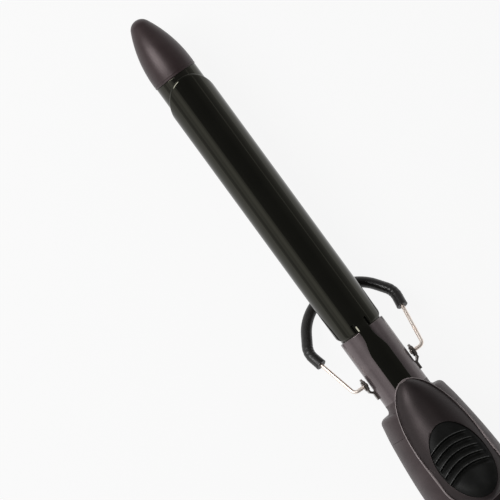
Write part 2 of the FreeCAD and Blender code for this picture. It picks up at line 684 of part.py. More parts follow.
# ---- electrics ------------------------------------------------------------------------------------
def make_board():
    board_top = BOARD_Z + BOARD_THICK
    board = block(BOARD_FRONT, BOARD_REAR, -9.5, 9.5, BOARD_Z, board_top)
    save("circuit_board", board)
    capacitor = rod(232, 243.5, 4.0, -4.8, board_top + 4.0)
    choke = post(240, 5.0, board_top, board_top + 7, 3.5)
    triac = block(250, 254.5, -8.5, -3.5, board_top, board_top + 9)
    terminal = block(266, 275, -8, 8, board_top, board_top + 6)
    save("board_components", Part.makeCompound([capacitor, choke, triac, terminal]))
    body = block(SWITCH_AT - SWITCH_TRAVEL - 5, SWITCH_AT + 5, -4, 4, 1.6, 8.6)
    well = block(SWITCH_AT - SWITCH_TRAVEL - 2.8, SWITCH_AT + 2.8, -1.9, 1.9, 4.6, 9)
    save("switch_body", body.cut(well))
    save("indicator_led", post(LENS_AT, 0, board_top, HANDLE_TOP - 3.0, 1.5))
    lens = post(LENS_AT, 0, HANDLE_TOP - 3.0, HANDLE_TOP + 0.5, 1.65)
    rim = [e for e in lens.Edges if e.CenterOfMass.z > HANDLE_TOP and len(e.Vertexes) == 1]
    save("indicator_lens", lens.makeFillet(0.4, rim))


def make_slider():
    """Sliding switch cap with grip ribs; at rest it is off, at the rear of its slot."""
    cap = block(SWITCH_AT - 6, SWITCH_AT + 6, -4.5, 4.5, HANDLE_TOP + GAP, HANDLE_TOP + 2.1)
    cap = cap.makeFillet(0.7, [e for e in cap.Edges if e.CenterOfMass.z > HANDLE_TOP + 2])
    ribs = [block(SWITCH_AT + d - 0.4, SWITCH_AT + d + 0.4, -3.2, 3.2, HANDLE_TOP + 1.5, HANDLE_TOP + 2.6)
            for d in (-3, -1, 1, 3)]
    stem = block(SWITCH_AT - 2.4, SWITCH_AT + 2.4, -1.5, 1.5, 5.0, HANDLE_TOP + 1)
    save("heat_slider", cap.fuse(ribs + [stem]).removeSplitter())


# ---- cord swivel ----------------------------------------------------------------------------------
JOURNAL_R = 6.0
CORD_R = 3.5
INLET_LENGTH = 12.0
RING_STATIONS = (288.0, 292.0)


def make_swivel():
    rear = (CAP_REAR, 11.6, 5.0, -15.4)
    cap = handle_solid((HANDLE[-1], rear), 0.0)
    edges = [e for e in cap.Edges if abs(e.CenterOfMass.x - at(CAP_REAR)) < 0.3]
    cap = cap.makeFillet(1.5, edges)
    save("end_cap", cap.cut(rod(SHELL_REAR - 1, CAP_REAR + 1, JOURNAL_R + FIT, 0, SWIVEL_Z)))
    flange_front = SHELL_REAR - 2.5
    swivel = rod(flange_front, SHELL_REAR - 0.3, 8.0, 0, SWIVEL_Z).fuse([
        rod(SHELL_REAR - 0.3, CAP_REAR + 0.4, JOURNAL_R, 0, SWIVEL_Z),
        rod(RING_STATIONS[0] - 2, flange_front, 2.6, 0, SWIVEL_Z),
    ])
    length = OVERALL_LENGTH - CAP_REAR - 0.4
    nose = Part.makeCone(5.2, 7.4, length, V(at(OVERALL_LENGTH), 0, SWIVEL_Z), V(1, 0, 0))
    swivel = swivel.fuse(nose)
    swivel = swivel.cut(rod(OVERALL_LENGTH - INLET_LENGTH, OVERALL_LENGTH, CORD_R, 0, SWIVEL_Z))
    save("cord_swivel", swivel.removeSplitter())
    rings = [tube(s, s + 2, 3.6, 2.6, 0, SWIVEL_Z) for s in RING_STATIONS]
    save("slip_rings", Part.makeCompound(rings))
    blades = []
    for side, station in zip((-1, 1), RING_STATIONS):
        y0, y1 = sorted((side * 3.95, side * 4.45))
        blades.append(block(station + 0.3, station + 1.7, y0, y1, -14, SWIVEL_Z + 2))
    save("contact_blades", Part.makeCompound(blades))


make_tip()
make_barrel()
make_heater()
make_leads()
make_neck()
make_stand_bracket()
make_eyelets()
make_stand()
make_clip()
make_lever()
make_hinge()
make_spring()
make_guard()
make_shells()
make_board()
make_slider()
make_swivel()
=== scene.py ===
"""Finished look of a curling iron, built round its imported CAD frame.

Measures are in millimetres until a point is placed. Along the iron, places are stations: distances behind
the very end of the cool tip. Heights are measured from the barrel's axis. place() turns a station, a
distance across and a height into a point of the frame, in metres.
"""

import json
import math

import bmesh
import bpy
from mathutils import Matrix, Vector


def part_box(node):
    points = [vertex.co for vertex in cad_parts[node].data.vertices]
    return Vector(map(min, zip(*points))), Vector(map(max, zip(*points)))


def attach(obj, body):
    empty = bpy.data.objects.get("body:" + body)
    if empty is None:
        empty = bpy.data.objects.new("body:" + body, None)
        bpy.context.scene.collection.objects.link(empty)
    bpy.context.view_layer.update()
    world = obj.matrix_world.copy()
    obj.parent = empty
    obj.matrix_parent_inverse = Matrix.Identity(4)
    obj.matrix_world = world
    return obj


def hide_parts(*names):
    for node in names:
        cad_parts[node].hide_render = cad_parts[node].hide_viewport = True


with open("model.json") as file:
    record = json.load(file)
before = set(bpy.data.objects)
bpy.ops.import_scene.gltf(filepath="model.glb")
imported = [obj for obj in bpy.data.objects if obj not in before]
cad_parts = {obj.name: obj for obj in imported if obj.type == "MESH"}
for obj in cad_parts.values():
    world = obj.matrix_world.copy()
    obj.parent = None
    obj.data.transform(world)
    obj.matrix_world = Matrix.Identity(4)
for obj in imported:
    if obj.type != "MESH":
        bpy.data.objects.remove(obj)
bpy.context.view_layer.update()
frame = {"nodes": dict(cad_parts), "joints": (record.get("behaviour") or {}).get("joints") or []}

MM = 0.001
UP = (0, 0, 1)
TIP_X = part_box("cool_tip")[1].x
AXIS_Z = (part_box("barrel_tube")[0].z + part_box("barrel_tube")[1].z) / 2


# ---- places and sizes read from the frame ---------------------------------------------------------
def place(station, y, z):
    return Vector((TIP_X - station * MM, y * MM, AXIS_Z + z * MM))


def station_of(point):
    return (TIP_X - point.x) / MM


def ends(node):
    """Front and rear stations of a CAD node."""
    low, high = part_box(node)
    return station_of(high), station_of(low)


def half_width(node):
    low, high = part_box(node)
    return (high.y - low.y) / 2 / MM


def heights(node):
    """Lowest and highest height of a CAD node above the barrel's axis."""
    low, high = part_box(node)
    return (low.z - AXIS_Z) / MM, (high.z - AXIS_Z) / MM


def pivot(joint_name):
    """Station and height of a joint's axis."""
    joint = next(j for j in frame["joints"] if j["name"] == joint_name)
    x, _, z = joint["pos_m"]
    return (TIP_X - x) / MM, (z - AXIS_Z) / MM


TABLE_Z = -AXIS_Z / MM
BARREL_FRONT, BARREL_REAR = ends("barrel_tube")
BARREL_R = half_width("barrel_tube")
BARREL_WALL = 0.9
BARREL_BORE = BARREL_R - BARREL_WALL
TIP_R = half_width("cool_tip")
NECK_R = half_width("neck_sleeve")
NECK_REAR = ends("neck_sleeve")[1]
NECK_LIP = BARREL_REAR - 1.0
HINGE_AT, HINGE_Z = pivot("clip_open")
STAND_AT, STAND_Z = pivot("stand_swing")
SWIVEL_Z = pivot("cord_swivel_turn")[1]
GUARD_FRONT, SHELL_FRONT = ends("front_guard")
SHELL_REAR = ends("handle_upper_shell")[1]
CAP_REAR = ends("end_cap")[1]
PARTING_Z = heights("handle_lower_shell")[1]
SLIDER_AT = sum(ends("heat_slider")) / 2
LENS_AT = sum(ends("indicator_lens")) / 2


# ---- meshes ---------------------------------------------------------------------------------------
class Form:
    """Vertices and faces of a piece, gathered from one or more shapes."""

    def __init__(self):
        self.verts = []
        self.faces = []

    def add(self, verts, faces):
        first = len(self.verts)
        self.verts += verts
        self.faces += [[first + i for i in face] for face in faces]
        return self

    def skin(self, rings, wrap=False, caps=True):
        """Quads between rings of equally many points; wrap joins the last ring to the first."""
        count = len(rings[0])
        faces = []
        for a in range(len(rings) if wrap else len(rings) - 1):
            b = (a + 1) % len(rings)
            for i in range(count):
                j = (i + 1) % count
                faces.append((a * count + i, a * count + j, b * count + j, b * count + i))
        if caps and not wrap:
            faces.append(tuple(range(count)))
            faces.append(tuple(range((len(rings) - 1) * count, len(rings) * count)))
        return self.add([p for ring in rings for p in ring], faces)

    def sheet(self, top, bottom, kept=None):
        """Plate between two grids of points, closed along its edge; kept(row, column) drops cells."""
        rows, columns = len(top), len(top[0])
        cells = []
        for r in range(rows - 1):
            for c in range(columns - 1):
                if kept is None or kept(r, c):
                    first = r * columns + c
                    cells.append((first, first + 1, first + columns + 1, first + columns))
        used = {}
        for cell in cells:
            for a, b in zip(cell, cell[1:] + cell[:1]):
                used[a, b] = used.get((a, b), 0) + 1
        under = rows * columns
        rim = [(b, a, a + under, b + under) for a, b in used if (b, a) not in used]
        back = [tuple(i + under for i in reversed(cell)) for cell in cells]
        points = [p for row in top for p in row] + [p for row in bottom for p in row]
        return self.add(points, cells + back + rim)

    def plate(self, outline, y0, y1):
        """Flat plate standing along the iron, from an outline of stations and heights."""
        return self.skin([[place(s, y, z) for s, z in outline] for y in (y0, y1)])

    def block(self, s0, s1, y0, y1, z0, z1):
        corners = [(s0, y0), (s1, y0), (s1, y1), (s0, y1)]
        return self.skin([[place(s, y, z) for s, y in corners] for z in (z0, z1)])


def new_object(name, form):
    mesh = bpy.data.meshes.new(name)
    mesh.from_pydata(form.verts, [], form.faces)
    cleaned = bmesh.new()
    cleaned.from_mesh(mesh)
    bmesh.ops.remove_doubles(cleaned, verts=cleaned.verts, dist=1e-6)
    loose = [v for v in cleaned.verts if not v.link_faces]
    bmesh.ops.delete(cleaned, geom=loose, context="VERTS")
    bmesh.ops.recalc_face_normals(cleaned, faces=cleaned.faces)
    cleaned.to_mesh(mesh)
    cleaned.free()
    piece = bpy.data.objects.new(name, mesh)
    bpy.context.scene.collection.objects.link(piece)
    return piece


def soften(piece, width, segments=3, angle=38):
    """Rounded edges, width in millimetres."""
    bevel = piece.modifiers.new("rounded_edges", "BEVEL")
    bevel.width = width * MM
    bevel.segments = segments
    bevel.limit_method = "ANGLE"
    bevel.angle_limit = math.radians(angle)
    bevel.use_clamp_overlap = True


def settle(piece):
    """Replaces a piece's mesh by what its modifiers make of it."""
    graph = bpy.context.evaluated_depsgraph_get()
    piece.data = bpy.data.meshes.new_from_object(piece.evaluated_get(graph))
    piece.modifiers.clear()


def carve(piece, *cutters):
    """Cuts each form out of a piece."""
    tools = []
    for cutter in cutters:
        tool = new_object(piece.name + "_cutter", cutter)
        cut = piece.modifiers.new("cut", "BOOLEAN")
        cut.operation = "DIFFERENCE"
        cut.solver = "EXACT"
        cut.object = tool
        tools.append(tool)
    bpy.context.view_layer.update()
    settle(piece)
    for tool in tools:
        bpy.data.objects.remove(tool)


def finish_piece(piece, body, slot, nodes, material=None, smooth=38):
    """Smooth shading, material, body and the CAD nodes that the piece stands for."""
    piece.data.materials.clear()
    piece.data.materials.append(finish(material or slot))
    if piece.modifiers:
        settle(piece)
    piece.data.polygons.foreach_set("use_smooth", [True] * len(piece.data.polygons))
    piece.data.set_sharp_from_angle(angle=math.radians(smooth))
    normals = piece.modifiers.new("normals", "WEIGHTED_NORMAL")
    normals.keep_sharp = True
    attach(piece, body)
    if nodes:
        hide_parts(*nodes)
    return piece


# ---- outlines -------------------------------------------------------------------------------------
def steps(low, high, count):
    """Evenly spaced values from low to high, both included."""
    return [low + (high - low) * i / count for i in range(count + 1)]


def arc(centre, radius, first, last, count):
    """Points of a circle's arc in a plane, angles in degrees."""
    points = []
    for degrees in steps(first, last, count):
        turn = math.radians(degrees)
        points.append((centre[0] + radius * math.cos(turn), centre[1] + radius * math.sin(turn)))
    return points


def quarter(start, corner, end, count):
    """Points on the quarter ellipse between two points, tangent to the corner's sides."""
    middle = (start[0] + end[0] - corner[0], start[1] + end[1] - corner[1])
    points = []
    for turn in steps(0, math.pi / 2, count):
        c, s = math.cos(turn), math.sin(turn)
        points.append(tuple(
            middle[k] + (start[k] - middle[k]) * c + (end[k] - middle[k]) * s for k in (0, 1)
        ))
    return points


def turned(profile, origin, along, count=96):
    """Rings of a profile, given as distances along an axis and radii."""
    along = Vector(along).normalized()
    side = along.orthogonal().normalized()
    up = along.cross(side)
    rings = []
    for distance, radius in profile:
        centre = origin + along * distance * MM
        ring = []
        for i in range(count):
            turn = 2 * math.pi * i / count
            ring.append(centre + (side * math.cos(turn) + up * math.sin(turn)) * radius * MM)
        rings.append(ring)
    return rings


def lathe(profile, z=0.0, count=96):
    """Rings about the iron's length from stations and radii."""
    return turned(profile, place(0, 0, z), (-1, 0, 0), count)


def rounded_path(corners, radii, per_arc=18):
    """Points of straight runs joined by tangent arcs."""
    points = [corners[0]]
    for before, corner, after, radius in zip(corners, corners[1:], corners[2:], radii):
        back = (before - corner).normalized()
        onward = (after - corner).normalized()
        half = back.angle(onward) / 2
        reach = radius / math.tan(half)
        centre = corner + (back + onward).normalized() * (radius / math.sin(half))
        start = corner + back * reach - centre
        sweep = math.pi - 2 * half
        axis = back.cross(onward).normalized()
        for i in range(per_arc + 1):
            points.append(centre + Matrix.Rotation(-sweep * i / per_arc, 3, axis) @ start)
    points.append(corners[-1])
    spaced = points[:1]
    for point in points[1:]:
        if (point - spaced[-1]).length > 1e-3 * MM:
            spaced.append(point)
    return spaced


def swept(points, radius, reference, count=24):
    """Rings of a round bar along points; radius(share) may change from 0, the start, to 1, the end."""
    lengths = [0.0]
    for a, b in zip(points, points[1:]):
        lengths.append(lengths[-1] + (b - a).length)
    rings = []
    for i, point in enumerate(points):
        tangent = (points[min(i + 1, len(points) - 1)] - points[max(i - 1, 0)]).normalized()
        side = tangent.cross(reference).normalized()
        up = side.cross(tangent)
        r = radius(lengths[i] / lengths[-1]) * MM
        turns = [2 * math.pi * k / count for k in range(count)]
        rings.append([point + (side * math.cos(t) + up * math.sin(t)) * r for t in turns])
    return rings


# ---- materials ------------------------------------------------------------------------------------
WARM = (1.0, 0.86, 0.87, 1)
OLIVE = (1.0, 0.98, 0.78, 1)


class Finish:
    """A procedural material round one Principled shader, patterned in the frame's own millimetres."""

    def __init__(self, name, metallic=0.0, **sockets):
        self.material = bpy.data.materials.new(name)
        self.material.use_nodes = True
        self.tree = self.material.node_tree
        self.shader = self.tree.nodes["Principled BSDF"]
        self.shader.inputs["Metallic"].default_value = metallic
        for socket, value in sockets.items():
            self.shader.inputs[socket.replace("_", " ")].default_value = value
        scale = self.node("ShaderNodeMapping")
        scale.inputs["Scale"].default_value = (1 / MM, 1 / MM, 1 / MM)
        self.link(self.node("ShaderNodeTexCoord").outputs["Object"], scale.inputs["Vector"])
        self.space = scale.outputs["Vector"]
        self.normal = None

    def node(self, kind):
        return self.tree.nodes.new(kind)

    def link(self, source, target):
        self.tree.links.new(source, target)

    def stretched(self, factors):
        """The pattern's space, stretched: a small factor draws the pattern out along that axis."""
        mapping = self.node("ShaderNodeMapping")
        mapping.inputs["Scale"].default_value = factors
        self.link(self.space, mapping.inputs["Vector"])
        return mapping.outputs["Vector"]

    def noise(self, size, detail=3.0, space=None):
        """Cloudy pattern with features of about that many millimetres."""
        noise = self.node("ShaderNodeTexNoise")
        noise.inputs["Scale"].default_value = 1 / size
        noise.inputs["Detail"].default_value = detail
        self.link(space or self.space, noise.inputs["Vector"])
        return noise.outputs["Fac"]

    def cells(self, size, space=None):
        """Pebbled pattern."""
        cells = self.node("ShaderNodeTexVoronoi")
        cells.inputs["Scale"].default_value = 1 / size
        cells.feature = "SMOOTH_F1"
        self.link(space or self.space, cells.inputs["Vector"])
        return cells.outputs["Distance"]

    def waves(self, size, axis="X", space=None):
        waves = self.node("ShaderNodeTexWave")
        waves.bands_direction = axis
        waves.inputs["Scale"].default_value = 0.31 / size
        self.link(space or self.space, waves.inputs["Vector"])
        return waves.outputs["Fac"]

    def edges(self):
        """Where the surface bulges, as worn edges do."""
        return self.node("ShaderNodeNewGeometry").outputs["Pointiness"]

    def ranged(self, value, low, high, from_low=0.3, from_high=0.7):
        ranged = self.node("ShaderNodeMapRange")
        ranged.inputs["From Min"].default_value = from_low
        ranged.inputs["From Max"].default_value = from_high
        ranged.inputs["To Min"].default_value = low
        ranged.inputs["To Max"].default_value = high
        self.link(value, ranged.inputs["Value"])
        return ranged.outputs["Result"]

    def colour(self, value, dark, light, from_low=0.3, from_high=0.7):
        """Base colour between two colours by a pattern."""
        mix = self.mixed(self.ranged(value, 0, 1, from_low, from_high), dark, light)
        self.link(mix, self.shader.inputs["Base Color"])
        return self

    def mixed(self, factor, first, second):
        mix = self.node("ShaderNodeMix")
        mix.data_type = "RGBA"
        self.link(factor, mix.inputs["Factor"])
        for socket, value in (("A", first), ("B", second)):
            target = [s for s in mix.inputs if s.name == socket and s.type == "RGBA"][0]
            if isinstance(value, bpy.types.NodeSocket):
                self.link(value, target)
            else:
                target.default_value = (*value, 1)
        return [s for s in mix.outputs if s.type == "RGBA"][0]

    def worn(self, patch, light):
        """Rubbed edges: a lighter colour where the surface bulges and a pattern allows it."""
        below = self.shader.inputs["Base Color"].links[0].from_socket
        edge = self.ranged(self.edges(), 0, 1, 0.51, 0.6)
        product = self.node("ShaderNodeMath")
        product.operation = "MULTIPLY"
        self.link(edge, product.inputs[0])
        self.link(self.ranged(patch, 0, 0.8, 0.4, 0.65), product.inputs[1])
        self.link(self.mixed(product.outputs[0], below, light), self.shader.inputs["Base Color"])
        return self

    def rough(self, value, low, high, from_low=0.3, from_high=0.7):
        self.link(self.ranged(value, low, high, from_low, from_high), self.shader.inputs["Roughness"])
        return self

    def bump(self, height, depth, strength=1.0):
        """Relief of that many millimetres."""
        bump = self.node("ShaderNodeBump")
        bump.inputs["Strength"].default_value = strength
        bump.inputs["Distance"].default_value = depth * MM
        self.link(height, bump.inputs["Height"])
        if self.normal is not None:
            self.link(self.normal, bump.inputs["Normal"])
        self.normal = bump.outputs["Normal"]
        self.link(self.normal, self.shader.inputs["Normal"])
        return self


def moulded(name, dark, light, rough, grain, depth, worn, ior=1.5):
    """Moulded plastic: spark-eroded grain, faint cloudiness, handling gloss and rubbed edges."""
    made = Finish(name, IOR=ior, Specular_Tint=WARM)
    made.colour(made.noise(6), dark, light)
    made.worn(made.noise(1.2), worn)
    made.rough(made.noise(9, 5), rough[0], rough[1])
    made.bump(made.cells(grain), depth, 0.6)
    return made.bump(made.noise(2.5), depth * 0.5, 0.4)


def handle_plastic():
    return moulded("handle_plastic", (0.027, 0.019, 0.020), (0.041, 0.030, 0.031), (0.42, 0.52), 0.42, 0.02,
                   (0.09, 0.075, 0.075))


def tip_plastic():
    return moulded("tip_plastic", (0.024, 0.0155, 0.016), (0.033, 0.023, 0.0235), (0.35, 0.42), 0.3, 0.01,
                   (0.08, 0.065, 0.065))


def lever_plastic():
    return moulded("lever_plastic", (0.006, 0.004, 0.004), (0.010, 0.0068, 0.0068), (0.46, 0.54), 0.3, 0.008,
                   (0.05, 0.04, 0.04), ior=1.45)


def lever_rim_painted_highlight():
    """The lever's moulded bead, coloured lighter than the lever as a painted highlight along its rim."""
    return moulded("lever_rim_painted_highlight", (0.16, 0.136, 0.136), (0.20, 0.172, 0.172), (0.30, 0.38), 0.3, 0.004,
                   (0.26, 0.23, 0.23))


def neck_plastic():
    return moulded("neck_plastic", (0.062, 0.050, 0.052), (0.088, 0.071, 0.074), (0.20, 0.27), 0.35, 0.006,
                   (0.13, 0.11, 0.11), ior=1.75)


def pad_rubber():
    made = Finish("pad_rubber", IOR=1.5, Specular_IOR_Level=0.15)
    made.colour(made.noise(3), (0.003, 0.0032, 0.0028), (0.006, 0.0062, 0.0057))
    made.rough(made.noise(5, 5), 0.46, 0.56)
    return made.bump(made.cells(0.2), 0.012, 0.5)


def rib_crest_painted_highlight():
    """The tops of the pad's ribs, coloured lighter than the pad as a painted highlight on each crest."""
    made = Finish("rib_crest_painted_highlight", IOR=1.5)
    made.colour(made.noise(2), (0.022, 0.0225, 0.021), (0.034, 0.0345, 0.033))
    made.rough(made.noise(4, 5), 0.34, 0.42)
    return made.bump(made.cells(0.2), 0.006, 0.4)


def glossy_black(name, dark, light, peel):
    """Baked gloss enamel: orange peel, faint clouding and hairline scuffs in its roughness."""
    made = Finish(name, IOR=1.46, Specular_Tint=OLIVE)
    made.colour(made.noise(14), dark, light)
    hairs = made.noise(0.7, 6, made.stretched((0.04, 1.0, 1.0)))
    made.rough(hairs, 0.05, 0.14, 0.45, 0.8)
    return made.bump(made.noise(5, 1), peel, 0.5)


def barrel_coating():
    return glossy_black("barrel_coating", (0.006, 0.006, 0.005), (0.009, 0.008, 0.007), 0.002)


def clip_enamel():
    return glossy_black("clip_enamel", (0.0035, 0.0035, 0.003), (0.005, 0.005, 0.0042), 0.0025)


def sleeve_rubber():
    made = Finish("sleeve_rubber", IOR=1.5)
    made.colour(made.noise(2.5), (0.012, 0.011, 0.010), (0.019, 0.017, 0.016))
    made.worn(made.noise(0.8), (0.05, 0.046, 0.044))
    made.rough(made.noise(4, 5), 0.3, 0.42)
    return made.bump(made.noise(0.9), 0.02, 0.5)


def wire_nickel():
    """Drawn wire, nickel plated, a little dull in patches."""
    made = Finish("wire_nickel", metallic=1.0)
    made.colour(made.noise(4), (1.0, 0.84, 0.74), (1.0, 0.92, 0.85))
    made.rough(made.noise(1.5, 5), 0.40, 0.5)
    return made.bump(made.noise(3, 2), 0.004, 0.4)


def brushed(name, dark, light, rough, along=(0.06, 1, 1)):
    """Metal with fine marks drawn out along one axis."""
    made = Finish(name, metallic=1.0)
    made.colour(made.noise(5), dark, light)
    marks = made.noise(0.25, 4, made.stretched(along))
    made.rough(marks, rough[0], rough[1])
    return made.bump(marks, 0.004, 0.5)


def bracket_steel():
    return brushed("bracket_steel", (0.16, 0.14, 0.13), (0.30, 0.27, 0.25), (0.28, 0.45))


def fastener_steel():
    return brushed("fastener_steel", (0.42, 0.41, 0.39), (0.58, 0.57, 0.55), (0.22, 0.38), (1, 1, 0.1))


def aluminium():
    return brushed("aluminium", (0.66, 0.66, 0.67), (0.8, 0.8, 0.81), (0.3, 0.45))


def brass():
    return brushed("brass", (0.62, 0.45, 0.18), (0.82, 0.64, 0.3), (0.2, 0.4), (1, 0.1, 1))


def ceramic():
    made = Finish("ceramic", IOR=1.7)
    made.colour(made.noise(2), (0.78, 0.76, 0.71), (0.88, 0.86, 0.82))
    made.rough(made.noise(1), 0.55, 0.75)
    return made.bump(made.noise(0.4), 0.03, 0.4)


def film():
    """Polyimide film: amber and slightly wrinkled."""
    made = Finish("film", IOR=1.6, Coat_Weight=0.4)
    made.colour(made.noise(5), (0.52, 0.24, 0.04), (0.66, 0.38, 0.10))
    made.rough(made.noise(3), 0.15, 0.3)
    return made.bump(made.noise(3.5), 0.05, 0.5)


def lead_insulation():
    """Braided glass-fibre sleeving."""
    made = Finish("lead_insulation", Sheen_Weight=0.3)
    braid = made.waves(0.5, "DIAGONAL")
    made.colour(braid, (0.62, 0.60, 0.55), (0.84, 0.82, 0.78))
    made.rough(braid, 0.6, 0.85)
    return made.bump(braid, 0.06, 0.8)


def board():
    """Solder mask over copper tracks."""
    made = Finish("board", IOR=1.5, Coat_Weight=0.5)
    tracks = made.waves(1.6, "Y")
    made.colour(tracks, (0.05, 0.20, 0.07), (0.12, 0.34, 0.14), 0.45, 0.55)
    made.rough(made.noise(2), 0.25, 0.4)
    return made.bump(tracks, 0.03, 0.6)


def components():
    made = Finish("components", IOR=1.5)
    made.colour(made.noise(3), (0.035, 0.035, 0.04), (0.07, 0.07, 0.08))
    made.rough(made.noise(1.5), 0.35, 0.55)
    return made.bump(made.cells(0.3), 0.015, 0.5)


def lens_red():
    """Tinted translucent lens."""
    made = Finish("lens_red", IOR=1.49, Transmission_Weight=0.35, Coat_Weight=0.6)
    made.colour(made.noise(1.5), (0.42, 0.015, 0.01), (0.62, 0.035, 0.02))
    made.rough(made.noise(0.8), 0.12, 0.25)
    return made.bump(made.cells(0.45), 0.03, 0.4)


FINISHES = (handle_plastic, tip_plastic, lever_plastic, lever_rim_painted_highlight, neck_plastic, pad_rubber, rib_crest_painted_highlight,
            barrel_coating, clip_enamel, sleeve_rubber, wire_nickel, bracket_steel, fastener_steel,
            aluminium, brass, ceramic, film, lead_insulation, board, components, lens_red)
MADE = {make.__name__: make().material for make in FINISHES}


def finish(name):
    return MADE[name]


def dress_cad_nodes():
    """Gives every CAD node the finish of its own material slot."""
    for node in frame["nodes"].values():
        for slot in node.material_slots:
            slot.material = MADE[slot.material.name]


# ---- cool tip, barrel and neck --------------------------------------------------------------------
TIP_NOSE_R = 4.7
TIP_OGIVE_R = 53.0
SPIGOT_REAR = BARREL_FRONT + 3.0
TIP_HOLLOW_R = 7.2
TIP_HOLLOW_FRONT = 17
TIP_BOSS_R = 3.2
TIP_PILOT_R = 1.15
TIP_PILOT_FRONT = 20
SEAM_HALF = 0.16
SEAM_DEPTH = 0.13
HINGE_FLAT_FRONT = 195.5
HINGE_FLAT_Z = 9.0
RIVET_WELL_Z = 9.2
RIVET_WELL_R = 2.4


def make_tip():
    """Ball nose and tangent ogive, a fine seam before the base, and the spigot inside the barrel."""
    centre = TIP_R - TIP_OGIVE_R
    lean = math.acos(-centre / (TIP_OGIVE_R - TIP_NOSE_R))
    ogive_at = TIP_NOSE_R + (TIP_OGIVE_R - TIP_NOSE_R) * math.sin(lean)
    lean_degrees = math.degrees(lean)
    profile = arc((TIP_NOSE_R, 0), TIP_NOSE_R, 180, 90 + lean_degrees, 22)
    profile += arc((ogive_at, centre), TIP_OGIVE_R, 90 + lean_degrees, 90, 34)[1:]
    seam = BARREL_FRONT - 1.1
    profile += [(seam - SEAM_HALF, TIP_R), (seam, TIP_R - SEAM_DEPTH), (seam + SEAM_HALF, TIP_R)]
    profile += arc((BARREL_FRONT - 0.3, TIP_R - 0.3), 0.3, 90, 0, 5)
    bore = BARREL_BORE - 0.05
    profile += [(BARREL_FRONT, bore), (SPIGOT_REAR, bore), (SPIGOT_REAR, TIP_HOLLOW_R)]
    profile += [(TIP_HOLLOW_FRONT, TIP_HOLLOW_R), (TIP_HOLLOW_FRONT, TIP_BOSS_R), (SPIGOT_REAR, TIP_BOSS_R)]
    profile += [(SPIGOT_REAR, TIP_PILOT_R), (TIP_PILOT_FRONT, TIP_PILOT_R), (TIP_PILOT_FRONT, 0)]
    piece = new_object("cool_tip_moulding", Form().skin(lathe(profile, count=128), caps=False))
    finish_piece(piece, "handle", "handle_plastic", ["cool_tip"], "tip_plastic", smooth=30)


def make_barrel():
    edge = 0.35
    mid = (BARREL_R + BARREL_BORE) / 2
    profile = arc((BARREL_FRONT + edge, BARREL_R - edge), edge, 180, 90, 4)
    profile += [(s, BARREL_R) for s in steps(BARREL_FRONT + 8, BARREL_REAR - 8, 16)]
    profile += arc((BARREL_REAR - edge, BARREL_R - edge), edge, 90, 0, 4)
    profile += [(BARREL_REAR, mid), (BARREL_REAR, BARREL_BORE)]
    profile += [(BARREL_FRONT, BARREL_BORE), (BARREL_FRONT, mid)]
    piece = new_object("barrel_shell", Form().skin(lathe(profile, count=128), wrap=True))
    finish_piece(piece, "handle", "barrel_coating", ["barrel_tube"])


def make_neck():
    """Moulded sleeve: spigot in the barrel, round front edge, stepped tail with the hinge's flat."""
    bore = 7.0
    step = NECK_R - 0.8
    spigot = BARREL_BORE - 0.05
    spigot_front = BARREL_REAR - 10
    round_r = 0.3
    profile = [(spigot_front, spigot), (BARREL_REAR, spigot)]
    profile += [(BARREL_REAR, BARREL_R), (NECK_LIP, BARREL_R)]
    profile += arc((NECK_LIP + round_r, NECK_R - round_r), round_r, 180, 90, 5)
    profile += [(s, NECK_R) for s in steps(BARREL_REAR + 3, GUARD_FRONT - 1, 8)]
    profile += [(GUARD_FRONT, NECK_R), (GUARD_FRONT, step), (NECK_REAR, step), (NECK_REAR, bore),
                (spigot_front, bore)]
    piece = new_object("neck_moulding", Form().skin(lathe(profile, count=128), wrap=True))
    flat = Form().block(HINGE_FLAT_FRONT, NECK_REAR + 1, -12, 12, HINGE_FLAT_Z, 14)
    well = [(RIVET_WELL_Z, RIVET_WELL_R), (14, RIVET_WELL_R)]
    wells = [Form().skin(turned(well, place(s, 0, 0), UP, 32)) for s in RIVETS_AT]
    carve(piece, flat, *wells)
    finish_piece(piece, "handle", "neck_plastic", ["neck_sleeve"])


# ---- stand ----------------------------------------------------------------------------------------
STAND_TILT = math.radians(25.0)
WIRE_R = 0.8
SLEEVE_R = 2.3
ELBOW_Y = 17.4
SHOULDER = (26.8, 22.1)
NOSE_HALF = 11.7
SLEEVE_START = 19.0
ELBOW_R = 2.2
SHOULDER_R = 9.0
STAND_REACH = (-TABLE_Z - SLEEVE_R) / math.sin(STAND_TILT)


def stand_point(reach, y):
    """Point of the stand's own plane, which slopes down and forward from its pivot."""
    return place(STAND_AT - reach * math.cos(STAND_TILT), y, STAND_Z - reach * math.sin(STAND_TILT))


def stand_line(first, radii):
    """The stand's centreline: its first points, shoulder and nose, and their mirror image."""
    turn = math.pi / 2 - math.atan2(SHOULDER[1] - NOSE_HALF, STAND_REACH - SHOULDER[0])
    nose_r = NOSE_HALF / math.tan(turn / 2)
    half = first + [SHOULDER, (STAND_REACH, NOSE_HALF)]
    corners = [stand_point(r, y) for r, y in half]
    corners += [stand_point(r, -y) for r, y in reversed(half)]
    radii = radii + [nose_r]
    return rounded_path(corners, [r * MM for r in radii + radii[::-1]])


def stand_normal():
    return Vector((math.sin(-STAND_TILT), 0, math.cos(STAND_TILT)))


def make_stand_wire():
    line = stand_line([(0, NECK_R + 0.5), (0, ELBOW_Y)], [ELBOW_R, SHOULDER_R])
    piece = new_object("stand_bail_wire", Form().skin(swept(line, lambda share: WIRE_R, stand_normal(), 28)))
    soften(piece, 0.15)
    finish_piece(piece, "stand", "wire_nickel", ["stand_wire"])


